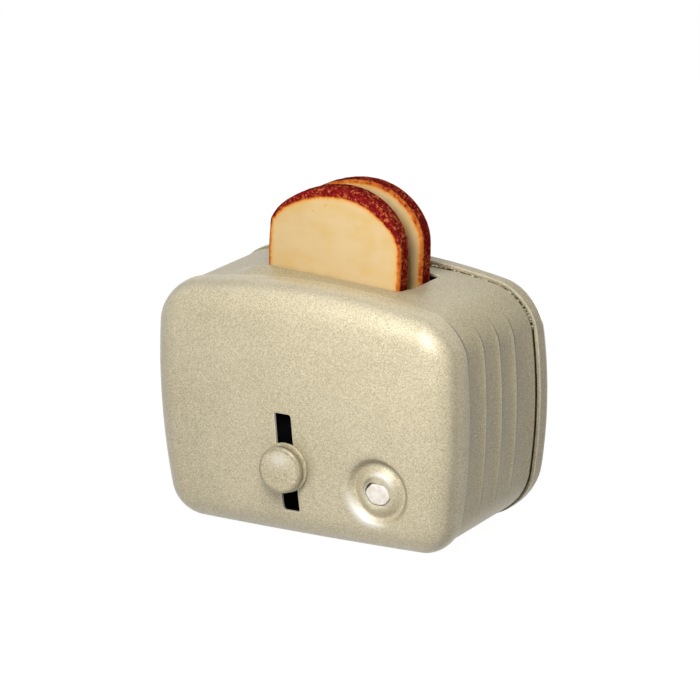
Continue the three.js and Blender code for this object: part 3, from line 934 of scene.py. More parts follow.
def soft_corner(corner: Span, radius: float, start_deg: float, steps: int) -> list[Span]:
    """Quarter turn in a turned profile.

    Args:
        corner: Middle of the turn, as radius and depth.
        radius: Radius of the turn.
        start_deg: Where it starts, 0 outwards and 90 backwards.
        steps: Its steps.

    Returns:
        Pairs of radius and depth.
    """
    angles = [math.radians(start_deg + 90 * i / steps) for i in range(steps + 1)]
    return [(corner[0] + radius * math.cos(a), corner[1] + radius * math.sin(a)) for a in angles]


@dataclass(frozen=True)
class RingMark:
    """A painted highlight, or with a negative weight a painted shade, on a ring round the button, strongest in
    one direction.
    """

    radius: float
    width: float
    towards_deg: float
    falloff: int
    weight: float

    def at(self, radius: np.ndarray, angle_deg: np.ndarray) -> np.ndarray:
        """How strong the mark is.

        Args:
            radius: Distances from the middle of the dish.
            angle_deg: Directions from there.

        Returns:
            The mark at each place, above zero for painted highlight and below for painted shade.
        """
        near = np.exp(-((radius - self.radius) / self.width) ** 2)
        facing = np.clip(np.cos(np.radians(angle_deg - self.towards_deg)), 0, 1)
        return self.weight * near * facing ** self.falloff


@dataclass
class FrontCover:
    """Drawn front panel with the leaning lever slot and the pressed dish round the button."""

    form: ShellForm
    paint: bpy.types.Material
    tin: bpy.types.Material
    slot_width: float = 3.5
    slot_bottom: float = 5.5
    slot_top: float = 23.4
    slot_lean: float = 1.3
    slot_radii: tuple[float, ...] = (0.62, 0.3, 0.62, 0.3)
    slot_roll: float = 0.14
    lever_across: float = -2.05
    lever_rest: float = 13.7
    dish_across: float = 16.68
    dish_height: float = 11.6
    dish_stations: tuple[Span, ...] = ((2.6, 0.12), (3.05, 0.0), (5.0, 1.1), (6.35, 0.0))
    bore: float = 2.3
    notch: float = 0.3
    notch_deg: float = 138.0
    notch_width_deg: float = 24.0
    patch_past: float = 0.9
    edge_steps: int = 18
    grid_spacing: float = 0.55
    grid_gap: float = 0.3
    dish_steps: int = 132
    dish_spacing: float = 0.17
    dish_gap: float = 0.1
    rim_soft: float = 0.1
    # Painted highlights along the rim and along the cut edges.
    rim_highlight: float = 0.45
    cut_edge_highlight: float = 0.35
    # Painted shade along the bend of the front edge.
    bend_shade: float = -0.3
    bend_shade_deg: Span = (62.0, 11.0)
    # Painted highlights on the lower left rim of the dish and on the upper right of the collar, and a painted
    # shadow in the notch at the bore's upper left.
    dish_marks: tuple[RingMark, ...] = (
        RingMark(6.2, 0.85, -128.0, 3, 0.85),
        RingMark(3.2, 0.5, 65.0, 4, 0.8),
        RingMark(2.65, 0.45, 140.0, 6, -0.7),
    )
    # Painted shade in the groove of the dish, darkest towards its upper right.
    groove_radius: float = 5.75
    groove_widths: Span = (0.5, 0.6)
    groove_wide_deg: float = 150.0
    groove_dark_deg: float = 50.0
    groove_shares: Span = (0.55, 0.6)
    groove_shade: float = 0.6
    # Painted shadow of the knob on the face, to its right.
    knob_shadow_radius: float = 5.0
    knob_shadow_width: float = 0.9
    knob_shadow: float = 0.22

    def press_depth(self, x: np.ndarray, z: np.ndarray) -> np.ndarray:
        """How deep the dish is pressed in.

        Args:
            x: Places across.
            z: Heights.

        Returns:
            The depth of the dish at each place.
        """
        radius = np.hypot(x - self.dish_across, z - self.dish_height)
        depth = np.where(radius <= self.dish_stations[0][0], self.dish_stations[0][1], 0.0)
        for (near, near_depth), (far, far_depth) in zip(self.dish_stations, self.dish_stations[1:]):
            share = np.clip((radius - near) / (far - near), 0, 1)
            eased = near_depth + (far_depth - near_depth) * share * share * (3 - 2 * share)
            depth = np.where((radius > near) & (radius <= far), eased, depth)
        return depth

    def face(self, flat: np.ndarray, inward: float) -> np.ndarray:
        """Points of the face, with its dome, its dish and the start of its round edge.

        Args:
            flat: The points in X and Z.
            inward: How deep in the sheet they lie.

        Returns:
            The points on the face.
        """
        x, z = flat[:, 0], flat[:, 1]
        radius = self.form.front_edge - inward
        past = np.minimum(self.form.past_face(flat), radius)
        bend = self.form.front_edge - np.sqrt(radius ** 2 - past ** 2)
        depth = self.form.face_depth(x, z) + self.press_depth(x, z) + bend
        return np.column_stack([x, depth, z])

    def marks(self, flat: np.ndarray) -> np.ndarray:
        """Painted light and shade: painted shade in the groove, painted highlights on the rim and collar of the
        dish, a painted shadow in the bore's notch, and a painted shadow beside the knob.

        Args:
            flat: Places in X and Z.

        Returns:
            The mark at each place, above zero for painted highlight and below for painted shade.
        """
        x, z = flat[:, 0] - self.dish_across, flat[:, 1] - self.dish_height
        radius = np.hypot(x, z)
        towards = np.degrees(np.arctan2(z, x))
        least, more = self.groove_widths
        width = least + more * np.clip(np.cos(np.radians(towards - self.groove_wide_deg)), 0, 1)
        all_round, one_side = self.groove_shares
        dark = all_round + one_side * np.cos(np.radians(towards - self.groove_dark_deg))
        groove = np.exp(-((radius - self.groove_radius) / width) ** 2) * np.clip(dark, 0, 1)
        beside = np.hypot(flat[:, 0] - self.lever_across, flat[:, 1] - self.lever_rest)
        right = np.clip((flat[:, 0] - self.lever_across) / beside.clip(JOIN_MM), 0, 1)
        knob_shadow_mask = np.exp(-((beside - self.knob_shadow_radius) / self.knob_shadow_width) ** 2) * right
        marks = sum(mark.at(radius, towards) for mark in self.dish_marks)
        return marks - self.groove_shade * groove - self.knob_shadow * knob_shadow_mask

    def bore_loop(self, grow: float) -> np.ndarray:
        """The outline of the hole for the button, with a notch at its upper left.

        Args:
            grow: How far it is moved outwards.

        Returns:
            The points in X and Z.
        """
        angle = np.linspace(0, 2 * math.pi, self.dish_steps, endpoint=False)
        away = np.degrees(angle) - self.notch_deg
        notch = self.notch * np.exp(-((away / self.notch_width_deg) ** 2))
        radius = self.bore * button_round(angle) + notch + grow
        low = self.dish_height - BUTTON_DROP
        return np.column_stack([self.dish_across + radius * np.cos(angle), low + radius * np.sin(angle)])

    def slot_corners(self) -> np.ndarray:
        """The corners of the lever slot.

        Returns:
            The points in X and Z against the clock, from the lower left.
        """
        lean = self.slot_lean / (self.slot_top - self.slot_bottom)
        low = self.lever_across - lean * (self.slot_bottom - self.lever_rest)
        high = self.lever_across - lean * (self.slot_top - self.lever_rest)
        half = self.slot_width / 2
        return np.array([
            [low - half, self.slot_bottom],
            [low + half, self.slot_bottom],
            [high + half, self.slot_top],
            [high - half, self.slot_top],
        ])

    def slot_loop(self, grow: float) -> np.ndarray:
        """The outline of the lever slot, moved outwards."""
        return rounded_loop(self.slot_corners(), self.slot_radii, grow)

    def plane(self) -> tuple[np.ndarray, list[np.ndarray]]:
        """Scatters the points of the flat face.

        Returns:
            The points in X and Z, and the numbers of those on the border, the lever slot and the bore.
        """
        form = self.form
        border = form.outline(0.0, form.front_edge - self.patch_past)
        inner_border = form.outline(0.0, form.front_edge - self.patch_past + self.grid_gap)
        dish_radius = self.dish_stations[-1][0]
        slot = self.slot_loop(self.slot_roll)
        bore = self.bore_loop(self.slot_roll)
        reach = dish_radius + self.grid_gap
        dish = np.concatenate([
            circle(self.dish_across, self.dish_height, radius, self.dish_steps)
            for radius in np.arange(self.bore, reach, self.dish_spacing)
        ])
        dish = dish[within(dish, inner_border) & ~within(dish, self.bore_loop(self.slot_roll + self.dish_gap))]
        dots = grid(border, self.grid_spacing)
        dots = dots[within(dots, inner_border) & ~within(dots, self.slot_loop(self.slot_roll + self.grid_gap))]
        away = np.hypot(dots[:, 0] - self.dish_across, dots[:, 1] - self.dish_height)
        dots = dots[away > reach + self.grid_gap / 2]
        starts = np.cumsum([0, len(border), len(slot), len(bore)])
        loops = [np.arange(a, b) for a, b in zip(starts, starts[1:])]
        return np.concatenate([border, slot, bore, dish, dots]), loops

    def build(self) -> None:
        """Draws the cover as one closed sheet."""
        form = self.form
        plane, (outer, slot_numbers, bore_numbers) = self.plane()
        triangles = triangles_between(plane, outer, [slot_numbers, bore_numbers])
        draft = Draft()
        skins = []
        for side, sheet in enumerate((0.0, form.cover_sheet)):
            draft.finish = side
            numbers = draft.add(self.face(plane, sheet), self.marks(plane))
            draft.face(numbers[triangles])
            rings = [numbers[outer]]
            radius = form.front_edge - sheet
            start = math.asin(self.patch_past / radius)
            for angle in np.linspace(start, math.pi / 2, self.edge_steps + 1)[1:]:
                depth = form.front_edge - radius * math.cos(angle)
                inset = form.front_edge - radius * math.sin(angle)
                # Painted shade: a darker band along the middle of the front edge's bend.
                middle_deg, width_deg = self.bend_shade_deg
                darker = self.bend_shade * math.exp(-((math.degrees(angle) - middle_deg) / width_deg) ** 2)
                rings.append(draft.add(form.ring(depth, inset, domed=True), darker))
            soft = self.rim_soft
            rings.append(draft.add(form.ring(form.front_rim - 3 * soft, sheet)))
            # Painted highlight: a lighter line along the edge of the rim.
            rings.append(draft.add(form.ring(form.front_rim - soft, sheet), self.rim_highlight))
            inwards = soft if side == 0 else -soft
            rings.append(draft.add(form.ring(form.front_rim, sheet + inwards)))
            draft.chain(rings)
            skins.append((numbers, rings[-1]))
        draft.finish = 0
        draft.bridge(skins[0][1], skins[1][1])
        edge = rolled_edge(form.cover_sheet, self.slot_roll)
        # The cut edges of the lever slot and the bore are painted lighter, a painted highlight along the lit
        # edge.
        for numbers, loop_at in ((slot_numbers, self.slot_loop), (bore_numbers, self.bore_loop)):
            rings = [skins[0][0][numbers]]
            rings += [draft.add(self.face(loop_at(grow), inward), self.cut_edge_highlight) for grow, inward in edge[1:-1]]
            rings.append(skins[1][0][numbers])
            draft.chain(rings)
        piece = draft.piece("front_cover_sheet", [self.paint, self.tin])
        hand_over(piece, Body.SHELL, Slot.PAINT, "front_cover")


@dataclass
class FlutedWrap:
    """Sheet round the sides and the top, pressed into shallow flutes and open for the bread."""

    form: ShellForm
    paint: bpy.types.Material
    tin: bpy.types.Material
    sheet: float = 0.6
    step: float = 0.4
    lap_inset: float = 0.85
    lap: float = 0.9
    step_length: float = 0.2
    front: float = 7.5
    back: float = 29.1
    flute_depth: float = 0.35
    ridge_shares: tuple[float, ...] = (0.0, 0.263, 0.493, 0.712, 1.0)
    foot_shares: Span = (0.1, 0.3)
    head_shares: Span = (0.76, 0.95)
    slot_length: float = 30.0
    slot_depth: float = 13.2
    slot_shift: float = 0.2
    slot_corner: float = 0.9
    slot_roll: float = 0.2
    ridge_height: float = 0.12
    ridge_foot_shares: Span = (0.12, 0.26)
    ridge_head_shares: Span = (0.88, 0.97)
    ridge_offsets: tuple[float, ...] = (
        -0.9, -0.6, -0.38, -0.22, -0.1, -0.03, 0.03, 0.09, 0.16, 0.28, 0.4, 0.53, 0.66, 0.9,
    )
    # Painted highlight along the cut edge of the bread opening, and a painted glint near its right rear corner.
    cut_edge_highlight: float = 0.2
    corner_glint: float = 0.8
    glint_place: Span = (15.2, 21.6)
    glint_width: float = 0.7
    dent_depth: float = 0.35
    ring_spacing: float = 0.55
    step_gap: float = 0.05
    loop_gap: float = 0.25
    margin: float = 1.4

    def stations(self) -> list[Span]:
        """Where the rings of the sheet lie.

        Returns:
            Pairs of depth and inset from the front lap to the back lap.
        """
        ridges = [self.front + share * (self.back - self.front) for share in self.ridge_shares]
        depths = [ridge + offset for ridge in ridges for offset in self.ridge_offsets]
        for near, far in zip(ridges, ridges[1:]):
            start, end = near + self.ridge_offsets[-1], far + self.ridge_offsets[0]
            count = math.ceil((end - start) / self.ring_spacing)
            depths += np.linspace(start, end, count, endpoint=False)[1:].tolist()
        low = self.front + self.step_length + self.step_gap
        high = self.back - self.step_length - self.step_gap
        face = [d for d in sorted(depths) if low < d < high]
        return [
            (self.front - self.lap, self.lap_inset),
            (self.front - self.lap / 2, self.lap_inset),
            (self.front, self.lap_inset),
            (self.front + self.step_length / 2, (self.lap_inset + self.step) / 2),
            (self.front + self.step_length, self.step),
            *[(d, self.step) for d in face],
            (self.back - self.step_length, self.step),
            (self.back - self.step_length / 2, (self.lap_inset + self.step) / 2),
            (self.back, self.lap_inset),
            (self.form.back_rim + self.lap, self.lap_inset),
        ]

    def slot_loop(self, grow: float) -> np.ndarray:
        """The outline of the bread opening.

        Args:
            grow: How far it is moved outwards.

        Returns:
            The points in X and depth.
        """
        middle = (self.front + self.back) / 2
        x, y = self.slot_length / 2, self.slot_depth / 2
        corners = np.array([[-x, -y], [x, -y], [x, y], [-x, y]]) + [self.slot_shift, middle]
        return rounded_loop(corners, [self.slot_corner] * 4, grow)

    def _skin(self, draft: Draft, extra: float) -> tuple[list[np.ndarray], np.ndarray]:
        """One skin of the wrap with its opening.

        Args:
            draft: The draft to draw in.
            extra: How far the skin is drawn in from the outer one.

        Returns:
            The numbers of its rings and of the loop round the opening.
        """
        form = self.form
        stations = self.stations()
        rings = [draft.add(form.ring(depth, inset + extra)) for depth, inset in stations]
        loop = self.slot_loop(self.slot_roll)
        reach = self.slot_loop(self.margin)
        run = np.arange(form.top_run().start, form.top_run().stop)
        middle = form.outline(self.front, self.step + extra)[run]
        columns = run[np.abs(middle[:, 0]) < reach[:, 0].max()]
        rows = [i for i, (d, _) in enumerate(stations) if reach[:, 1].min() < d < reach[:, 1].max()]
        gap = np.isin(np.arange(len(rings[0])), columns[:-1])
        for i, (near, far) in enumerate(zip(rings, rings[1:])):
            draft.bridge(near, far, gap if rows[0] <= i < rows[-1] else None)
        block = np.array([rings[i][columns] for i in rows])
        border = np.concatenate([block[0, :-1], block[:-1, -1], block[-1, :0:-1], block[:0:-1, 0]])
        inner = block[1:-1, 1:-1].ravel()
        flat = np.concatenate(draft.points)[inner][:, :2]
        inner = inner[~within(flat, self.slot_loop(self.slot_roll + self.loop_gap))]
        loop_numbers = draft.add(self._at_top(loop, extra))
        numbers = np.concatenate([border, inner, loop_numbers])
        plane = np.concatenate(draft.points)[numbers][:, :2]
        outer = np.arange(len(border))
        hole = np.arange(len(border) + len(inner), len(numbers))
        draft.face(numbers[triangles_between(plane, outer, [hole])])
        return rings, loop_numbers

    def _at_top(self, flat: np.ndarray, extra: float) -> np.ndarray:
        """Points of the top under places in X and depth, drawn in by an extra inset."""
        height = self.form.top_height(flat[:, 0], flat[:, 1], self.step + extra)
        return np.column_stack([flat[:, 0], flat[:, 1], height])

    def build(self) -> None:
        """Draws the sheet, presses its flutes and hands it over."""
        draft = Draft()
        outer, outer_loop = self._skin(draft, 0.0)
        draft.finish = 1
        inner, inner_loop = self._skin(draft, self.sheet)
        draft.finish = 0
        draft.bridge(outer[0], inner[0])
        draft.bridge(outer[-1], inner[-1])
        edge = rolled_edge(self.sheet, self.slot_roll)
        rings = [outer_loop]
        for grow, inward in edge[1:-1]:
            rim = self._at_top(self.slot_loop(grow), inward)
            # The rim of the opening is painted lighter, with a painted glint near the right rear corner.
            away = np.hypot(rim[:, 0] - self.glint_place[0], rim[:, 1] - self.glint_place[1])
            painted_highlight = self.cut_edge_highlight + self.corner_glint * np.exp(-(away / self.glint_width) ** 2)
            rings.append(draft.add(rim, painted_highlight))
        rings.append(inner_loop)
        draft.chain(rings)
        plain = draft.piece("fluted_wrap_sheet", [self.paint, self.tin])
        hand_over(FlutePress(self).bake(plain, "fluted_wrap"), Body.SHELL, Slot.PAINT, "body_wrap")


@dataclass
class GeometryTree:
    """A Geometry Nodes tree with named inputs, applied to an object and turned into a plain mesh."""

    title: str
    inputs: dict[str, tuple[str, Any]]
    graph: Graph = field(init=False)

    def __post_init__(self) -> None:
        """Makes the empty tree with its interface."""
        tree = bpy.data.node_groups.new(self.title, "GeometryNodeTree")
        tree.interface.new_socket("Geometry", in_out="INPUT", socket_type="NodeSocketGeometry")
        tree.interface.new_socket("Geometry", in_out="OUTPUT", socket_type="NodeSocketGeometry")
        for name, (kind, _) in self.inputs.items():
            tree.interface.new_socket(name, in_out="INPUT", socket_type=kind)
        self.graph = Graph(tree)
        self.entry = self.graph.add("NodeGroupInput")

    def given(self, name: str) -> Signal:
        """A named input as a signal."""
        return self.graph.out(self.entry, name)

    def close(self, geometry: Any) -> None:
        """Ends the tree in Realize Instances, Set Material and the output.

        Args:
            geometry: Socket with the finished shape.
        """
        real = self.graph.add("GeometryNodeRealizeInstances", None, {"Geometry": geometry})
        sockets = {"Geometry": real.outputs[0], "Material": self.given("Finish")}
        dressed = self.graph.add("GeometryNodeSetMaterial", None, sockets)
        self.graph.add("NodeGroupOutput", None, {"Geometry": dressed.outputs[0]})

    def marked(self, geometry: Any, value: Any, domain: str) -> Signal:
        """Stores the mark that the paint reads.

        Args:
            geometry: Socket with the shape.
            value: The mark.
            domain: What carries it, points or instances.

        Returns:
            The marked shape.
        """
        settings = {"data_type": "FLOAT", "domain": domain}
        sockets = {"Geometry": geometry, "Name": MARK_ATTRIBUTE, "Value": value}
        return self.graph.out(self.graph.add("GeometryNodeStoreNamedAttribute", settings, sockets))

    def bake(self, start: bpy.types.Object, name: str) -> bpy.types.Object:
        """Runs the tree on an object and keeps the result as a plain mesh.

        Args:
            start: Object whose mesh goes into the tree, removed afterwards.
            name: Name of the result.

        Returns:
            The object with the finished mesh.
        """
        modifier = start.modifiers.new(self.title, "NODES")
        modifier.node_group = self.graph.tree
        for item in self.graph.tree.interface.items_tree:
            if item.in_out == "INPUT" and item.name in self.inputs:
                modifier[item.identifier] = self.inputs[item.name][1]
        bpy.context.view_layer.update()
        order = bpy.context.evaluated_depsgraph_get()
        ready = start.evaluated_get(order)
        mesh = bpy.data.meshes.new_from_object(ready, preserve_all_data_layers=True, depsgraph=order)
        start.modifiers.remove(modifier)
        bpy.data.objects.remove(start)
        return smooth_object(name, mesh, CREASE_DEG)


@dataclass(frozen=True)
class RidgeForm:
    """Section of a ridge and its painted highlight and shadow, with places in millimetres behind its crest."""

    rise: Span = (-0.9, 0.0)
    fall: Span = (0.0, 0.16)
    dip: float = 0.5
    dip_end: Span = (0.2, 0.9)
    painted_highlight: float = 0.2
    highlight_start: Span = (-0.4, -0.06)
    highlight_end: Span = (-0.06, 0.03)
    painted_shade: float = 0.6
    shadow_start: Span = (-0.04, 0.06)
    shadow_end: Span = (0.4, 0.66)

    def height(self, past: Signal) -> Signal:
        """Height as a share of the crest's, at a place past the crest."""
        fall = past.ease(*self.fall)
        return past.ease(*self.rise) * (1 - fall) - self.dip * fall * (1 - past.ease(*self.dip_end))

    def mark(self, past: Signal) -> Signal:
        """Painted highlight on the crest and painted shadow behind it, at a place past the crest."""
        painted_highlight = self.painted_highlight * past.ease(*self.highlight_start) * (1 - past.ease(*self.highlight_end))
        return painted_highlight - self.painted_shade * past.ease(*self.shadow_start) * (1 - past.ease(*self.shadow_end))


@dataclass(frozen=True)
class TopForm:
    """Lip in front of the bread, dent beside the back cover, and painted highlight and shade along the seams
    and in front of the bread, in millimetres.
    """

    lift_shares: Span = (0.5, 0.8)
    lip_middle: float = 0.2
    lip_slope: float = 0.045
    lip_curve: float = 0.0037
    lip_most: float = 1.6
    lip_left: Span = (-20.0, -12.5)
    lip_right: Span = (15.0, 22.0)
    lip_start: float = 0.3
    lip_end: Span = (0.3, 5.0)
    dent_left: Span = (1.0, 8.0)
    dent_right: Span = (10.0, 19.0)
    dent_rise: Span = (-4.0, -1.0)
    top_shares: Span = (0.97, 1.03)
    # Painted highlight along the top of the front seam, painted shade along it on the flanks and along the back
    # seam, and painted shade on the band in front of the bread.
    front_seam_highlight: float = 0.35
    front_seam_shade: float = 0.55
    front_end: Span = (0.55, 0.9)
    back_seam_shade: float = 0.7
    back_start: Span = (-0.25, -0.05)
    band_shade: float = 0.16
    band_start: Span = (0.9, 1.8)
    band_end: float = 0.3
    band_half: Span = (10.0, 20.0)


class FlutePress(GeometryTree):
    """Presses shallow flutes with sharp ridges between them into the flanks of the wrap."""

    def __init__(self, wrap: FlutedWrap) -> None:
        """Builds the tree.

        Args:
            wrap: The wrap with its sizes.
        """
        place = front_place()
        self.wrap = wrap
        self.top = TopForm()
        self.slot_front = (wrap.front + wrap.back - wrap.slot_depth) / 2
        super().__init__("flute_press", {
            "Flute Depth": ("NodeSocketFloat", wrap.flute_depth * MM),
            "Ridge Height": ("NodeSocketFloat", wrap.ridge_height * MM),
            "Dent Depth": ("NodeSocketFloat", wrap.dent_depth),
            "Front": ("NodeSocketFloat", (wrap.front + place) * MM),
            "Back": ("NodeSocketFloat", (wrap.back + place) * MM),
            "Height": ("NodeSocketFloat", wrap.form.height * MM),
            "Finish": ("NodeSocketMaterial", wrap.paint),
            "Inside Finish": ("NodeSocketMaterial", wrap.tin),
        })
        graph = self.graph
        position = graph.add("GeometryNodeInputPosition")
        split = graph.add("ShaderNodeSeparateXYZ", None, {0: position.outputs[0]})
        x, y, z = (graph.out(split, i) for i in range(3))
        along = (y - self.given("Front")) / (self.given("Back") - self.given("Front"))
        pressed: Any = 0.0
        for near, far in zip(wrap.ridge_shares, wrap.ridge_shares[1:]):
            share = ((along - near) / (far - near)).clipped()
            pressed = share * (1 - share) * 4 + pressed
        up = z / self.given("Height")
        fade = up.ease(*wrap.foot_shares) * (1 - up.ease(*wrap.head_shares))
        ridge_fade = up.ease(*wrap.ridge_foot_shares) * (1 - up.ease(*wrap.ridge_head_shares))
        ridge_form = RidgeForm()
        crest: Any = 0.0
        marks: Any = 0.0
        # Each ridge gets a painted highlight on its crest and a painted shadow behind it.
        for ridge in wrap.ridge_shares[1:-1]:
            past = (along - ridge) * (wrap.back - wrap.front)
            crest = ridge_form.height(past) + crest
            marks = ridge_form.mark(past) + marks
        raised = crest * ridge_fade * self.given("Ridge Height")
        shift = x.sign() * (raised - pressed * fade * self.given("Flute Depth"))
        depth = along * (wrap.back - wrap.front) + wrap.front
        across = x / MM
        lift = (self._lip(across, depth) - self._dent(across, depth)) * MM * up.ease(*self.top.lift_shares)
        offset = graph.add("ShaderNodeCombineXYZ", None, {"X": shift, "Z": lift})
        sockets = {"Geometry": self.entry.outputs[0], "Offset": offset.outputs[0]}
        moved = graph.add("GeometryNodeSetPosition", None, sockets)
        drawn = graph.add("GeometryNodeInputNamedAttribute", {"data_type": "FLOAT"}, {"Name": MARK_ATTRIBUTE})
        marks = marks * ridge_fade + self._seams(across, depth, up) + graph.out(drawn)
        self.close(self.marked(moved.outputs[0], marks, "POINT"))

    def _lip(self, x: Signal, depth: Signal) -> Signal:
        """How far the sheet in front of the bread stands up, most at its left end.

        Args:
            x: Place across in millimetres.
            depth: Depth in millimetres.

        Returns:
            The rise in millimetres.
        """
        top, slot, start = self.top, self.slot_front, self.wrap.front + self.top.lip_start
        rise = (top.lip_middle - top.lip_slope * x + top.lip_curve * x * x).at_least(0.0).at_most(top.lip_most)
        sides = x.ease(*top.lip_left) * (1 - x.ease(*top.lip_right))
        ramp = ((depth - start) / (slot - start)).clipped()
        return rise * sides * ramp * (1 - depth.ease(slot + top.lip_end[0], slot + top.lip_end[1]))

    def _dent(self, x: Signal, depth: Signal) -> Signal:
        """How deep the shallow dent beside the back cover is.

        Args:
            x: Place across in millimetres.
            depth: Depth in millimetres.

        Returns:
            The dent in millimetres.
        """
        top, back = self.top, self.wrap.back
        across = x.ease(*top.dent_left) * (1 - x.ease(*top.dent_right))
        near = depth.ease(back + top.dent_rise[0], back + top.dent_rise[1])
        return across * near * self.given("Dent Depth")

    def _seams(self, x: Signal, depth: Signal, up: Signal) -> Signal:
        """Painted highlight and shade along both covers, and painted shade on the band in front of the bread.

        Args:
            x: Place across in millimetres.
            depth: Depth in millimetres.
            up: Height as a share of the shell's.

        Returns:
            The mark, above zero for painted highlight and below for painted shade.
        """
        top, front, back, slot = self.top, self.wrap.front, self.wrap.back, self.slot_front
        on_top = up.ease(*top.top_shares)
        at_front = 1 - depth.ease(front + top.front_end[0], front + top.front_end[1])
        seam = (top.front_seam_highlight * on_top - top.front_seam_shade * (1 - on_top)) * at_front
        seam = seam - top.back_seam_shade * depth.ease(back + top.back_start[0], back + top.back_start[1])
        band = depth.ease(front + top.band_start[0], front + top.band_start[1])
        band = band * (1 - depth.ease(slot, slot + top.band_end))
        return seam - top.band_shade * on_top * band * (1 - abs(x).ease(*top.band_half))

    def close(self, geometry: Any) -> None:
        """Ends the tree as the others end, and gives the inside its own finish.

        Args:
            geometry: Socket with the finished shape.
        """
        graph = self.graph
        index = graph.add("GeometryNodeInputMaterialIndex")
        settings = {"data_type": "INT", "operation": "EQUAL"}
        inside = graph.add("FunctionNodeCompare", settings, {2: index.outputs[0], 3: 1})
        stored = graph.add(
            "GeometryNodeStoreNamedAttribute",
            {"data_type": "BOOLEAN", "domain": "FACE"},
            {"Geometry": geometry, "Name": INSIDE_ATTRIBUTE, "Value": inside.outputs[0]},
        )
        real = graph.add("GeometryNodeRealizeInstances", None, {"Geometry": stored.outputs[0]})
        sockets = {"Geometry": real.outputs[0], "Material": self.given("Finish")}
        painted = graph.add("GeometryNodeSetMaterial", None, sockets)
        settings = {"data_type": "BOOLEAN"}
        kept = graph.add("GeometryNodeInputNamedAttribute", settings, {"Name": INSIDE_ATTRIBUTE})
        sockets = {
            "Geometry": painted.outputs[0],
            "Selection": kept.outputs[0],
            "Material": self.given("Inside Finish"),
        }
        lined = graph.add("GeometryNodeSetMaterial", None, sockets)
        graph.add("NodeGroupOutput", None, {"Geometry": lined.outputs[0]})


def carrier(name: str, points: np.ndarray | None = None) -> bpy.types.Object:
    """Makes an object that a tree can run on.

    Args:
        name: Its name.
        points: A chain of points in metres, or None for an empty mesh.

    Returns:
        The object.
    """
    mesh = bpy.data.meshes.new(name)
    if points is not None:
        mesh.from_pydata(points.tolist(), [(i, i + 1) for i in range(len(points) - 1)], [])
    return linked(name, mesh)


class ButtonCoil(GeometryTree):
    """Winds the wire between the button's flange and its strap."""

    def __init__(self, low: Vector, high: Vector, steel: bpy.types.Material) -> None:
        """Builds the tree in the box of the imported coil.

        Args:
            low: Lowest corner in metres.
            high: Highest corner in metres.
            steel: Finish of the wire.
        """
        wire = 0.2 * MM
        super().__init__("button_coil", {
            "Turns": ("NodeSocketFloat", 5.0),
            "Coil Radius": ("NodeSocketFloat", (high.x - low.x) / 2 - wire),
            "Wire Radius": ("NodeSocketFloat", wire),
            "Length": ("NodeSocketFloat", high.y - low.y - 2 * wire),
            "Start": ("NodeSocketVector", ((low.x + high.x) / 2, low.y + wire, (low.z + high.z) / 2)),
            "Finish": ("NodeSocketMaterial", steel),
        })
        graph = self.graph
        radius = self.given("Coil Radius")
        sockets = {
            "Resolution": 36,
            "Rotations": self.given("Turns"),
            "Start Radius": radius,
            "End Radius": radius,
            "Height": self.given("Length"),
        }
        spiral = graph.add("GeometryNodeCurveSpiral", None, sockets)
        sockets = {"Resolution": 10, "Radius": self.given("Wire Radius")}
        section = graph.add("GeometryNodeCurvePrimitiveCircle", None, sockets)
        sockets = {"Curve": spiral.outputs[0], "Profile Curve": section.outputs[0], "Fill Caps": True}
        wound = graph.add("GeometryNodeCurveToMesh", None, sockets)
        sockets = {
            "Geometry": wound.outputs[0],
            "Translation": self.given("Start"),
            "Rotation": (-math.pi / 2, 0.0, 0.0),
        }
        laid = graph.add("GeometryNodeTransform", None, sockets)
        self.close(laid.outputs[0])


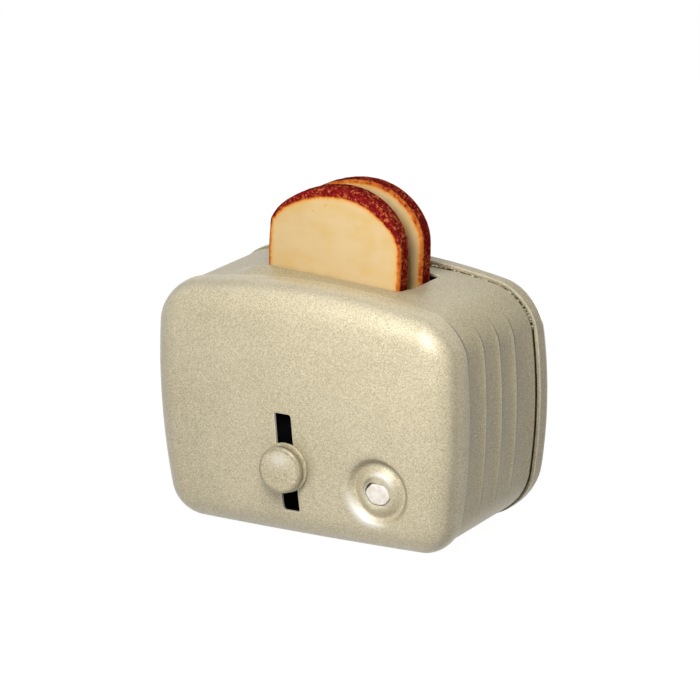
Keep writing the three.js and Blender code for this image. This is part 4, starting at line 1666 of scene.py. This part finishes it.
class SeamBlobs(GeometryTree):
    """Scatters hardened drops of paint along the seam between the wrap and the back cover."""

    def __init__(self, form: ShellForm, wrap: FlutedWrap) -> None:
        """Builds the tree and the line that it follows.

        Args:
            form: Outline of the shell.
            wrap: The wrap whose back edge the drops sit on.
        """
        self.form = form
        self.wrap = wrap
        super().__init__("seam_blobs", {
            "Spacing": ("NodeSocketFloat", 0.4 * MM),
            "Drop Radius": ("NodeSocketFloat", 0.27 * MM),
            "Scatter": ("NodeSocketFloat", 0.12 * MM),
            "Kept Share": ("NodeSocketFloat", 0.8),
            "Finish": ("NodeSocketMaterial", wrap.paint),
        })
        graph = self.graph
        line = graph.add("GeometryNodeMeshToCurve", None, {0: self.entry.outputs[0]})
        sockets = {"Curve": line.outputs[0], "Length": self.given("Spacing")}
        points = graph.add("GeometryNodeCurveToPoints", {"mode": "LENGTH"}, sockets)
        sockets = {"Segments": 8, "Rings": 5, "Radius": self.given("Drop Radius")}
        drop = graph.add("GeometryNodeMeshUVSphere", None, sockets)
        sockets = {0: self._random((-1.0, -1.0, -0.4), (1.0, 1.0, 0.4), seed=7), "Scale": self.given("Scatter")}
        scaled = graph.add("ShaderNodeVectorMath", {"operation": "SCALE"}, sockets)
        sockets = {"Geometry": points.outputs[0], "Offset": scaled.outputs[0]}
        moved = graph.add("GeometryNodeSetPosition", None, sockets)
        kept = graph.add("GeometryNodeInputIndex")
        sockets = {"Probability": self.given("Kept Share"), "ID": kept.outputs[0], "Seed": 3}
        chance = graph.add("FunctionNodeRandomValue", {"data_type": "BOOLEAN"}, sockets)
        size = self._random((0.5, 0.5, 0.3), (1.5, 1.2, 0.9), seed=11)
        sockets = {
            "Points": moved.outputs[0],
            "Selection": chance.outputs[3],
            "Instance": drop.outputs[0],
            "Scale": size,
        }
        drops = graph.add("GeometryNodeInstanceOnPoints", None, sockets)
        dirtiest, most_worn = -0.9, 0.7
        sockets = {2: dirtiest, 3: most_worn, "Seed": 5}
        shade = graph.add("FunctionNodeRandomValue", {"data_type": "FLOAT"}, sockets)
        self.close(self.marked(drops.outputs[0], shade.outputs[1], "INSTANCE"))

    def _random(self, low: Place, high: Place, seed: int) -> Signal:
        """A random vector for each point, between two corners."""
        sockets = {0: low, 1: high, "Seed": seed}
        return self.graph.out(self.graph.add("FunctionNodeRandomValue", {"data_type": "FLOAT_VECTOR"}, sockets))

    def build(self) -> None:
        """Lays the drops along the top of the seam and hands them over."""
        behind, sunk = 0.3, 0.2
        run = self.form.ring(self.wrap.back + behind, self.wrap.step + sunk)
        start = self.form.foot_steps + self.form.side_steps + self.form.corner_steps
        chain = run[start:start + self.form.corner_steps + self.form.top_steps]
        placed = (chain + [0.0, front_place(), 0.0]) * MM
        hand_over(self.bake(carrier("seam_line", placed), "seam_paint_blobs"), Body.SHELL, Slot.PAINT)


@dataclass
class BackCover:
    """Shallow drawn back panel."""

    form: ShellForm
    paint: bpy.types.Material
    tin: bpy.types.Material
    flat_share: float = 0.36
    rim_soft: float = 0.12
    # Painted highlight along the rim's edge.
    rim_highlight: float = 0.4
    edge_steps: int = 12
    face_steps: int = 14

    def build(self) -> None:
        """Draws the cover as one closed sheet."""
        form = self.form
        draft = Draft()
        rims = []
        soft = self.rim_soft
        for side, sheet in enumerate((0.0, form.cover_sheet)):
            draft.finish = side
            radius = form.back_edge - sheet
            inwards = soft if side == 0 else -soft
            rings = [draft.add(form.ring(form.back_rim, sheet + inwards))]
            # Painted highlight: a lighter line along the edge of the rim.
            rings.append(draft.add(form.ring(form.back_rim + soft, sheet), self.rim_highlight))
            rings.append(draft.add(form.ring(form.back_rim + 3 * soft, sheet)))
            for angle in np.linspace(0, math.pi / 2, self.edge_steps + 1):
                depth = form.depth - form.back_dome - form.back_edge + radius * math.sin(angle)
                rings.append(draft.add(form.ring(depth, form.back_edge - radius * math.cos(angle))))
            face = form.outline(form.depth, form.back_edge)
            middle = np.array([0.0, form.height / 2])
            for share in np.linspace(1, 0, self.face_steps, endpoint=False)[1:]:
                flat = middle + (face - middle) * share
                depth = form.depth - form.back_dome * max(share, self.flat_share) ** 2 - sheet
                rings.append(draft.add(at_depth(flat, depth)))
            draft.chain(rings)
            draft.fan(rings[-1], np.array([0.0, depth, form.height / 2]))
            rims.append(rings[0])
        draft.finish = 0
        draft.bridge(*rims)
        piece = draft.piece("back_cover_sheet", [self.paint, self.tin])
        hand_over(piece, Body.SHELL, Slot.PAINT, "back_cover")


@dataclass
class BreadSlices:
    """Two wooden slices with a narrow foot, a rounded crown and a flatter left shoulder."""

    material: bpy.types.Material
    width: float = 28.2
    heights: Span = (30.15, 29.75)
    thickness: float = 3.2
    gap: float = 4.15
    edge: float = 0.5
    shift: float = 1.1
    front: float = 12.05
    floor: float = 32.6
    middle_share: float = 0.48
    start_shares: Span = (-0.37, 0.0)
    curve_shares: tuple[tuple[float, ...], ...] = (
        (0.43, 0, 0.45, 0.03, 0.452, 0.1),
        (0.46, 0.33, 0.497, 0.5, 0.495, 0.67),
        (0.492, 0.81, 0.34, 1, 0.06, 1),
        (-0.14, 1, -0.4, 0.9, -0.478, 0.75),
        (-0.49, 0.69, -0.515, 0.42, -0.49, 0.33),
        (-0.47, 0.25, -0.455, 0.2, -0.452, 0.1),
        (-0.45, 0.03, -0.43, 0, -0.37, 0),
    )
    curve_steps: int = 36
    edge_steps: int = 6
    side_steps: int = 10
    crease_deg: float = 60.0
    rough_height: float = 0.09
    rough_scale: float = 1.3
    face_rim: float = 0.05
    bare_rim: float = 0.14
    paint_from: float = 53.0
    paint_rise: float = 7.0
    paint_left: float = -9.0
    paint_across: float = 12.0
    face_shares: tuple[float, ...] = (0.35, 0.55, 0.7, 0.81, 0.855, 0.89, 0.92, 0.945)

    def outline(self, height: float) -> np.ndarray:
        """The outline of a slice.

        Args:
            height: Height of the slice.

        Returns:
            Points against the clock from the lower left, about the slice's own foot.
        """
        scale = np.array([self.width, height])
        here = np.array(self.start_shares) * scale
        other = here * [-1, 1]
        points = [np.linspace(here, other, self.curve_steps, endpoint=False)]
        here = other
        share = np.linspace(0, 1, self.curve_steps, endpoint=False)[:, None]
        for shares in self.curve_shares:
            first, second, end = (np.array(shares[i:i + 2]) * scale for i in (0, 2, 4))
            points.append(
                here * (1 - share) ** 3 + 3 * first * share * (1 - share) ** 2
                + 3 * second * share ** 2 * (1 - share) + end * share ** 3
            )
            here = end
        return np.concatenate(points)

    def painted(self, flat: np.ndarray, cap: float) -> np.ndarray:
        """How far the crust's paint reaches over the edge of a face, most at the top.

        Args:
            flat: Places in X and Z.
            cap: Its greatest reach.

        Returns:
            The reach at each place, below zero where the face is bare to its very edge.
        """
        up = np.clip((flat[:, 1] - self.paint_from) / self.paint_rise, 0, 1)
        across = np.clip((flat[:, 0] - self.paint_left) / self.paint_across, 0, 1)
        return (cap + self.bare_rim) * up * up * (3 - 2 * up) * (0.5 + 0.5 * across) - self.bare_rim

    def slice_draft(self, front: float, height: float, cap: float, seed: float) -> Draft:
        """Draws one slice.

        Args:
            front: Depth of its front face.
            height: Its height.
            cap: How far the crust's paint reaches over the face at the top.
            seed: Which roughness its crust has.

        Returns:
            The draft.
        """
        line = self.outline(height) + [self.shift, self.floor]
        along = np.roll(line, -1, axis=0) - np.roll(line, 1, axis=0)
        inward = np.column_stack([-along[:, 1], along[:, 0]]) / np.linalg.norm(along, axis=1)[:, None]
        middle = np.array([self.shift, self.floor + height * self.middle_share])
        draft = Draft()

        def ring(inset: float, depth: float, rim: float) -> np.ndarray:
            """Adds one ring, roughened where it is crust.

            Args:
                inset: How far it lies inside the outline.
                depth: Its depth.
                rim: The mark it carries, zero or less on crust.

            Returns:
                The numbers of its points.
            """
            flat = line + inward * inset
            if rim <= 0:
                scale = self.rough_scale
                rough = [noise.noise(Vector((x * scale, depth * scale, z * scale + seed))) for x, z in flat]
                flat = flat + inward * (self.rough_height * (0.5 + 0.5 * np.array(rough)))[:, None]
            return draft.add(at_depth(flat, depth), rim - self.painted(flat, cap))

        def face_ring(share: float, depth: float) -> np.ndarray:
            """Adds one ring of a flat face.

            Args:
                share: Its size, shrunk about the middle of the slice.
                depth: Its depth.

            Returns:
                The numbers of its points.
            """
            flat = middle + (line - middle) * share
            rim = loop_distance(flat, line) - self.edge
            return draft.add(at_depth(flat, depth), rim - self.painted(flat, cap))

        edges = [
            (self.edge * (1 - math.sin(a)), self.edge * (1 - math.cos(a)))
            for a in np.linspace(0, math.pi / 2, self.edge_steps + 1)
        ]
        back = self.thickness
        rings = [face_ring(share, front) for share in self.face_shares]
        rings.append(ring(edges[0][0], front + edges[0][1], self.face_rim))
        rings += [ring(inset, front + down, 0.0) for inset, down in edges[1:]]
        sides = np.linspace(self.edge, back - self.edge, self.side_steps + 1)[1:-1]
        rings += [ring(0.0, front + depth, -1.0) for depth in sides]
        rings += [ring(inset, front + back - down, 0.0) for inset, down in reversed(edges)]
        rings += [face_ring(share, front + back) for share in reversed(self.face_shares)]
        draft.chain(rings)
        for inner, depth in ((rings[0], front), (rings[-1], front + back)):
            draft.fan(inner, np.array([middle[0], depth, middle[1]]), self.width / 2)
        return draft

    def build(self) -> None:
        """Draws both slices and hands them over."""
        rear = self.front + self.thickness + self.gap
        for name, front, height, body, cap, seed in (
            ("bread_slice_front", self.front, self.heights[0], Body.FRONT_SLICE, 1.3, 0.0),
            ("bread_slice_rear", rear, self.heights[1], Body.REAR_SLICE, -0.1, 40.0),
        ):
            draft = self.slice_draft(front, height, cap, seed)
            hand_over(draft.piece(f"{name}_wood", [self.material], self.crease_deg), body, Slot.BREAD, name)


@dataclass
class Lever:
    """Knob and washer that show in front, and the mechanism behind them."""

    paint: bpy.types.Material
    steel: bpy.types.Material
    tin: bpy.types.Material
    black: bpy.types.Material
    across: float = -2.05
    rest: float = 13.7
    knob_radius: float = 4.28
    knob_back_radius: float = 4.12
    knob_edge: float = 0.5
    knob_front: float = -2.75
    knob_back: float = -0.95
    knob_turn_deg: float = 4.0
    knob_edge_steps: int = 8
    knob_back_edge: float = 0.2
    # Painted highlight on the knob's upper face, painted shade round its rim and on its side.
    light_patch: float = 0.45
    highlight_middle: Span = (0.1, 2.0)
    highlight_widths: Span = (2.0, 1.2)
    darker: float = 0.4
    rim_shade_start: float = 3.55
    rim_shade_width: float = 0.35
    side_start: float = 0.45
    side_shade: Span = (0.5, 0.25)
    dome: float = 0.15
    bore: float = 0.81
    bore_depth: float = 1.6
    washer_radius: float = 4.55
    washer_front: float = -0.6
    washer_back: float = -0.1
    washer_edge: float = 0.15
    washer_edge_steps: int = 3
    steps: int = 96

    def knob_marks(self, ring: np.ndarray) -> np.ndarray:
        """Painted light and shade on the head: a painted highlight on the upper face, painted shade round the
        rim, and painted shade on the side that grows towards the top as a painted reflection of the dark slot.

        Args:
            ring: Points of one ring.

        Returns:
            The mark at each point, above zero for painted highlight and below for painted shade.
        """
        across, up = ring[:, 0] - self.across, ring[:, 2] - self.rest
        off_across = (across - self.highlight_middle[0]) / self.highlight_widths[0]
        off_up = (up - self.highlight_middle[1]) / self.highlight_widths[1]
        light_patch = self.light_patch * np.exp(-off_across ** 2 - off_up ** 2)
        darker = self.darker * np.clip((np.hypot(across, up) - self.rim_shade_start) / self.rim_shade_width, 0, 1)
        side = self.side_shade[0] + self.side_shade[1] * np.clip(up / self.knob_radius, 0, 1)
        return np.where(ring[:, 1] > self.knob_front + self.dome + self.side_start, -side, light_patch - darker)

    def knob(self) -> None:
        """Makes the round head with a soft front edge, a little out of true."""
        edge = self.knob_edge
        front = self.knob_front + self.dome
        dome = [
            (share * (self.knob_radius - edge), self.knob_front + self.dome * share ** 2)
            for share in np.arange(0.0, 0.95, 0.1).tolist()
        ]
        soft = self.knob_back_edge
        profile = [
            *dome,
            *soft_corner((self.knob_radius - edge, front + edge), edge, -90, self.knob_edge_steps),
            (self.knob_back_radius, self.knob_back - soft),
            (self.knob_back_radius - soft, self.knob_back),
            (self.bore, self.knob_back),
            (self.bore, self.knob_back - self.bore_depth),
            (0.0, self.knob_back - self.bore_depth),
        ]
        draft = turned(profile, self.across, self.rest, self.steps)
        draft.rims = [self.knob_marks(ring) for ring in draft.points]
        turn = math.radians(self.knob_turn_deg)
        for ring in draft.points:
            across, back = ring[:, 0] - self.across, ring[:, 1] - self.knob_back
            ring[:, 0] = self.across + across * math.cos(turn) - back * math.sin(turn)
            ring[:, 1] = self.knob_back + across * math.sin(turn) + back * math.cos(turn)
        piece = draft.piece("lever_knob_turned", [self.paint])
        hand_over(piece, Body.LEVER, Slot.KNOB, "lever_knob")

    def washer(self) -> None:
        """Makes the round disc between the knob and the shell."""
        soft, steps = self.washer_edge, self.washer_edge_steps
        profile = [
            (self.bore, self.washer_front),
            *soft_corner((self.washer_radius - soft, self.washer_front + soft), soft, -90, steps),
            *soft_corner((self.washer_radius - soft, self.washer_back - soft), soft, 0, steps),
            (self.bore, self.washer_back),
        ]
        piece = turned(profile, self.across, self.rest, self.steps).piece("lever_washer_turned", [self.paint])
        hand_over(piece, Body.LEVER, Slot.KNOB, "lever_washer")

    def build(self) -> None:
        """Makes the visible pieces and dresses the mechanism."""
        self.knob()
        self.washer()
        for name, material, slot in (
            # The slide plate is near black, painted shade seen through the lever slot.
            ("slide_plate", self.black, Slot.BLACK),
            ("bread_tray", self.tin, Slot.TIN),
            ("tray_divider", self.tin, Slot.TIN),
            ("tray_rivet_left", self.steel, Slot.STEEL),
            ("tray_rivet_right", self.steel, Slot.STEEL),
            ("lever_stem", self.steel, Slot.STEEL),
            ("stem_washer", self.steel, Slot.STEEL),
            ("stem_clip", self.steel, Slot.STEEL),
            ("guide_rail_left", self.tin, Slot.TIN),
            ("guide_rail_right", self.tin, Slot.TIN),
        ):
            dress_node(name, material)


def dress_node(name: str, material: bpy.types.Material) -> None:
    """Gives a node of the frame its finish.

    Args:
        name: Name of the node.
        material: The finish.
    """
    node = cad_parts[name]
    node.data.materials.clear()
    node.data.materials.append(material)
    log.info("%s: dressed", name)


@dataclass
class PushButton:
    """Cream button in the dish, with the coil and the strap behind it."""

    cream: bpy.types.Material
    steel: bpy.types.Material
    tin: bpy.types.Material
    across: float = 16.68
    height: float = 11.6
    radius: float = 2.19
    edge: float = 0.4
    edge_steps: int = 6
    dimple_radius: float = 0.8
    dimple_depth: float = 0.02
    coil_gap: float = 0.1
    flange_radius: float = 3.6
    flange_thickness: float = 0.8
    tail_radius: float = 1.0
    tail_chamfer: float = 0.2
    steps: int = 72

    def build(self) -> None:
        """Makes the button and dresses what carries it."""
        low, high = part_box("push_button")
        face = low.y / MM - front_place()
        end = high.y / MM - front_place()
        coil_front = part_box("button_spring")[0].y / MM - front_place()
        flange = coil_front - self.flange_thickness - self.coil_gap
        profile = [
            (0.0, face),
            (self.dimple_radius, face + self.dimple_depth),
            *soft_corner((self.radius - self.edge, face + self.edge), self.edge, -90, self.edge_steps),
            (self.radius, flange),
            (self.flange_radius, flange),
            (self.flange_radius, flange + self.flange_thickness),
            (self.tail_radius, flange + self.flange_thickness),
            (self.tail_radius, end - self.tail_chamfer),
            (self.tail_radius - self.tail_chamfer, end),
            (0.0, end),
        ]
        draft = turned(profile, self.across, self.height, self.steps)
        middle = np.array([self.across, self.height])
        for ring in draft.points:
            if ring[0, 1] < flange - self.dimple_depth / 2:
                flat = ring[:, [0, 2]] - middle
                uneven = button_round(np.arctan2(flat[:, 1], flat[:, 0]))
                ring[:, [0, 2]] = middle + flat * uneven[:, None] - [0.0, BUTTON_DROP]
        piece = draft.piece("push_button_moulded", [self.cream])
        hand_over(piece, Body.BUTTON, Slot.CREAM, "push_button")
        coil = ButtonCoil(*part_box("button_spring"), self.steel)
        wound = coil.bake(carrier("coil_start"), "button_coil_wound")
        hand_over(wound, Body.BUTTON, Slot.STEEL, "button_spring")
        dress_node("button_strap", self.tin)


@dataclass(frozen=True)
class Lamp:
    """A soft box."""

    name: str
    towards: Place
    distance_m: float
    size_m: Span
    watts: float
    colour: Rgb = (1.0, 1.0, 1.0)

    def place(self, aim: Vector) -> None:
        """Hangs the lamp and turns it to what it lights.

        Args:
            aim: Place that it lights, in metres.
        """
        light = bpy.data.lights.new(self.name, "AREA")
        light.shape = "RECTANGLE"
        light.size, light.size_y = self.size_m
        light.energy = self.watts
        light.color = self.colour
        made = linked(self.name, light)
        direction = Vector(self.towards).normalized()
        made.location = aim + direction * self.distance_m
        made.rotation_euler = direction.to_track_quat("Z", "Y").to_euler()
        made.visible_camera = False


@dataclass
class Studio:
    """White floor, soft boxes and the camera of the photograph."""

    lamps: tuple[Lamp, ...] = (
        Lamp("key_box", (0.05, -0.12, 0.109), 0.155, (0.07, 0.07), 0.25),
        Lamp("low_box", (-0.03, -0.16, 0.0), 0.163, (0.06, 0.06), 0.015),
        Lamp("top_box", (0.0, 0.1, 1.0), 0.6, (0.4, 0.4), 0.39, (0.93, 0.98, 1.12)),
        Lamp("left_box", (-0.6, 0.05, 0.77), 0.8, (0.4, 0.4), 0.5),
        Lamp("back_box", (0.0, 1.0, 0.0), 0.3, (0.1, 0.036), 0.26),
    )
    floor_half_m: float = 6.0
    lens_px: float = 9000.0
    scale_px_per_mm: float = 5.6
    frame_px: float = 700.0
    middle_px: Span = (346.45, 403.31)
    yaw_deg: float = 33.17
    pitch_deg: float = 16.48
    roll_deg: float = -1.19
    box_middle: Span = (16.78, 21.34)
    sensor_mm: float = 36.0
    clip_m: Span = (0.05, 50.0)
    paper: Rgb = (0.6, 0.6, 0.6)
    white: Rgb = (1.0, 1.0, 1.0)
    floor_glow: float = 1.22
    glow_share: float = 0.8
    room_light: float = 0.05

    def camera(self) -> None:
        """Sets up the camera that was fitted to the outline in the photograph."""
        yaw, pitch, roll = (math.radians(a) for a in (self.yaw_deg, self.pitch_deg, self.roll_deg))
        back = Vector((math.sin(yaw) * math.cos(pitch), -math.cos(yaw) * math.cos(pitch), math.sin(pitch)))
        right = Vector((math.cos(yaw), math.sin(yaw), 0.0))
        up = back.cross(right)
        turned_right = math.cos(roll) * right + math.sin(roll) * up
        turned_up = -math.sin(roll) * right + math.cos(roll) * up
        distance = self.lens_px / self.scale_px_per_mm
        off_x = (self.middle_px[0] - self.frame_px / 2) / self.scale_px_per_mm
        off_y = (self.frame_px / 2 - self.middle_px[1]) / self.scale_px_per_mm
        middle = Vector((0.0, self.box_middle[0] + front_place(), self.box_middle[1]))
        place = middle + back * distance - turned_right * off_x - turned_up * off_y
        data = bpy.data.cameras.new("photo_camera")
        data.sensor_width = self.sensor_mm
        data.lens = data.sensor_width * self.lens_px / self.frame_px
        data.clip_start, data.clip_end = self.clip_m
        made = linked("photo_camera", data)
        turn = Matrix((turned_right, turned_up, back)).transposed().to_4x4()
        made.matrix_world = Matrix.Translation(place * MM) @ turn
        bpy.context.scene.camera = made

    def seen(self, graph: Graph) -> Signal:
        """Finds the rays that show the background: camera, gloss and transmission.

        Args:
            graph: The tree to work in.

        Returns:
            One for those rays, and zero for the others.
        """
        rays = graph.add("ShaderNodeLightPath")
        camera, glossy, through = (
            graph.out(rays, name) for name in ("Is Camera Ray", "Is Glossy Ray", "Is Transmission Ray")
        )
        return (camera + glossy + through).at_most(1.0)

    def floor(self) -> None:
        """Lays the pale floor, which is white to the camera and keeps a faint shadow."""
        half = self.floor_half_m
        mesh = bpy.data.meshes.new("floor")
        corners = [(-half, -half, 0), (half, -half, 0), (half, half, 0), (-half, half, 0)]
        mesh.from_pydata(corners, [], [(0, 1, 2, 3)])
        material = bpy.data.materials.new("floor_paper")
        material.use_nodes = True
        graph = Graph(material.node_tree)
        graph.tree.nodes.clear()
        paper = graph.add("ShaderNodeBsdfDiffuse", None, {"Color": (*self.paper, 1.0)})
        sockets = {"Color": (*self.white, 1.0), "Strength": self.floor_glow}
        white = graph.add("ShaderNodeEmission", None, sockets)
        share = self.seen(graph) * self.glow_share
        mixed = graph.add("ShaderNodeMixShader", None, {0: share, 1: paper.outputs[0], 2: white.outputs[0]})
        graph.add("ShaderNodeOutputMaterial", None, {"Surface": mixed.outputs[0]})
        mesh.materials.append(material)
        linked("floor", mesh)

    def world(self) -> None:
        """Fills the room with plain light and shows white behind the toaster."""
        world = bpy.data.worlds.new("studio")
        world.use_nodes = True
        bpy.context.scene.world = world
        graph = Graph(world.node_tree)
        graph.tree.nodes.clear()
        strength = self.room_light + (1 - self.room_light) * self.seen(graph)
        sockets = {"Color": (*self.white, 1.0), "Strength": strength}
        light = graph.add("ShaderNodeBackground", None, sockets)
        graph.add("ShaderNodeOutputWorld", None, {"Surface": light.outputs[0]})

    def build(self) -> None:
        """Sets up everything round the toaster."""
        self.camera()
        self.floor()
        self.world()
        aim = Vector((0.0, 0.0, self.box_middle[1] * MM))
        for lamp in self.lamps:
            lamp.place(aim)
        bpy.context.scene.view_settings.view_transform = "Standard"


def main() -> None:
    """Builds the toaster, piece by piece, and the studio round it."""
    logging.basicConfig(level=logging.INFO, format="%(name)s %(message)s")
    form = ShellForm()
    paint = SprayedPaint("champagne_paint", light=(0.67, 0.59, 0.405), dark=(0.37, 0.315, 0.19)).material()
    knob_paint = SprayedPaint("knob_paint", grain=0.3, grain_depth=0.04).material()
    wrap_paint = SprayedPaint("champagne_wrap_paint", grain=0.17, grain_depth=0.02, gloss=0.25).material()
    tin = SheetMetal("bare_tinplate").material()
    # Dull tin, darkened further as painted shade for the inside of the shell.
    inside = SheetMetal("dull_inside_painted_shade", colour=(0.16, 0.14, 0.12), roughness=0.6).material()
    # Near black for the slide plate: painted shade seen through the lever slot.
    shadow_black: Rgb = (0.004, 0.004, 0.004)
    black = SheetMetal("black_tinplate", colour=shadow_black, metallic=0.0, roughness=0.9, specular=0.0).material()
    steel = SheetMetal("bright_steel", colour=(0.6, 0.6, 0.58), roughness=0.25).material()
    FrontCover(form, paint, inside).build()
    wrap = FlutedWrap(form, wrap_paint, inside)
    wrap.build()
    SeamBlobs(form, wrap).build()
    BackCover(form, wrap_paint, inside).build()
    BreadSlices(PaintedBread().material()).build()
    Lever(knob_paint, steel, tin, black).build()
    PushButton(CreamPlastic().material(), steel, tin).build()
    Studio().build()


if __name__ == "__main__":
    main()
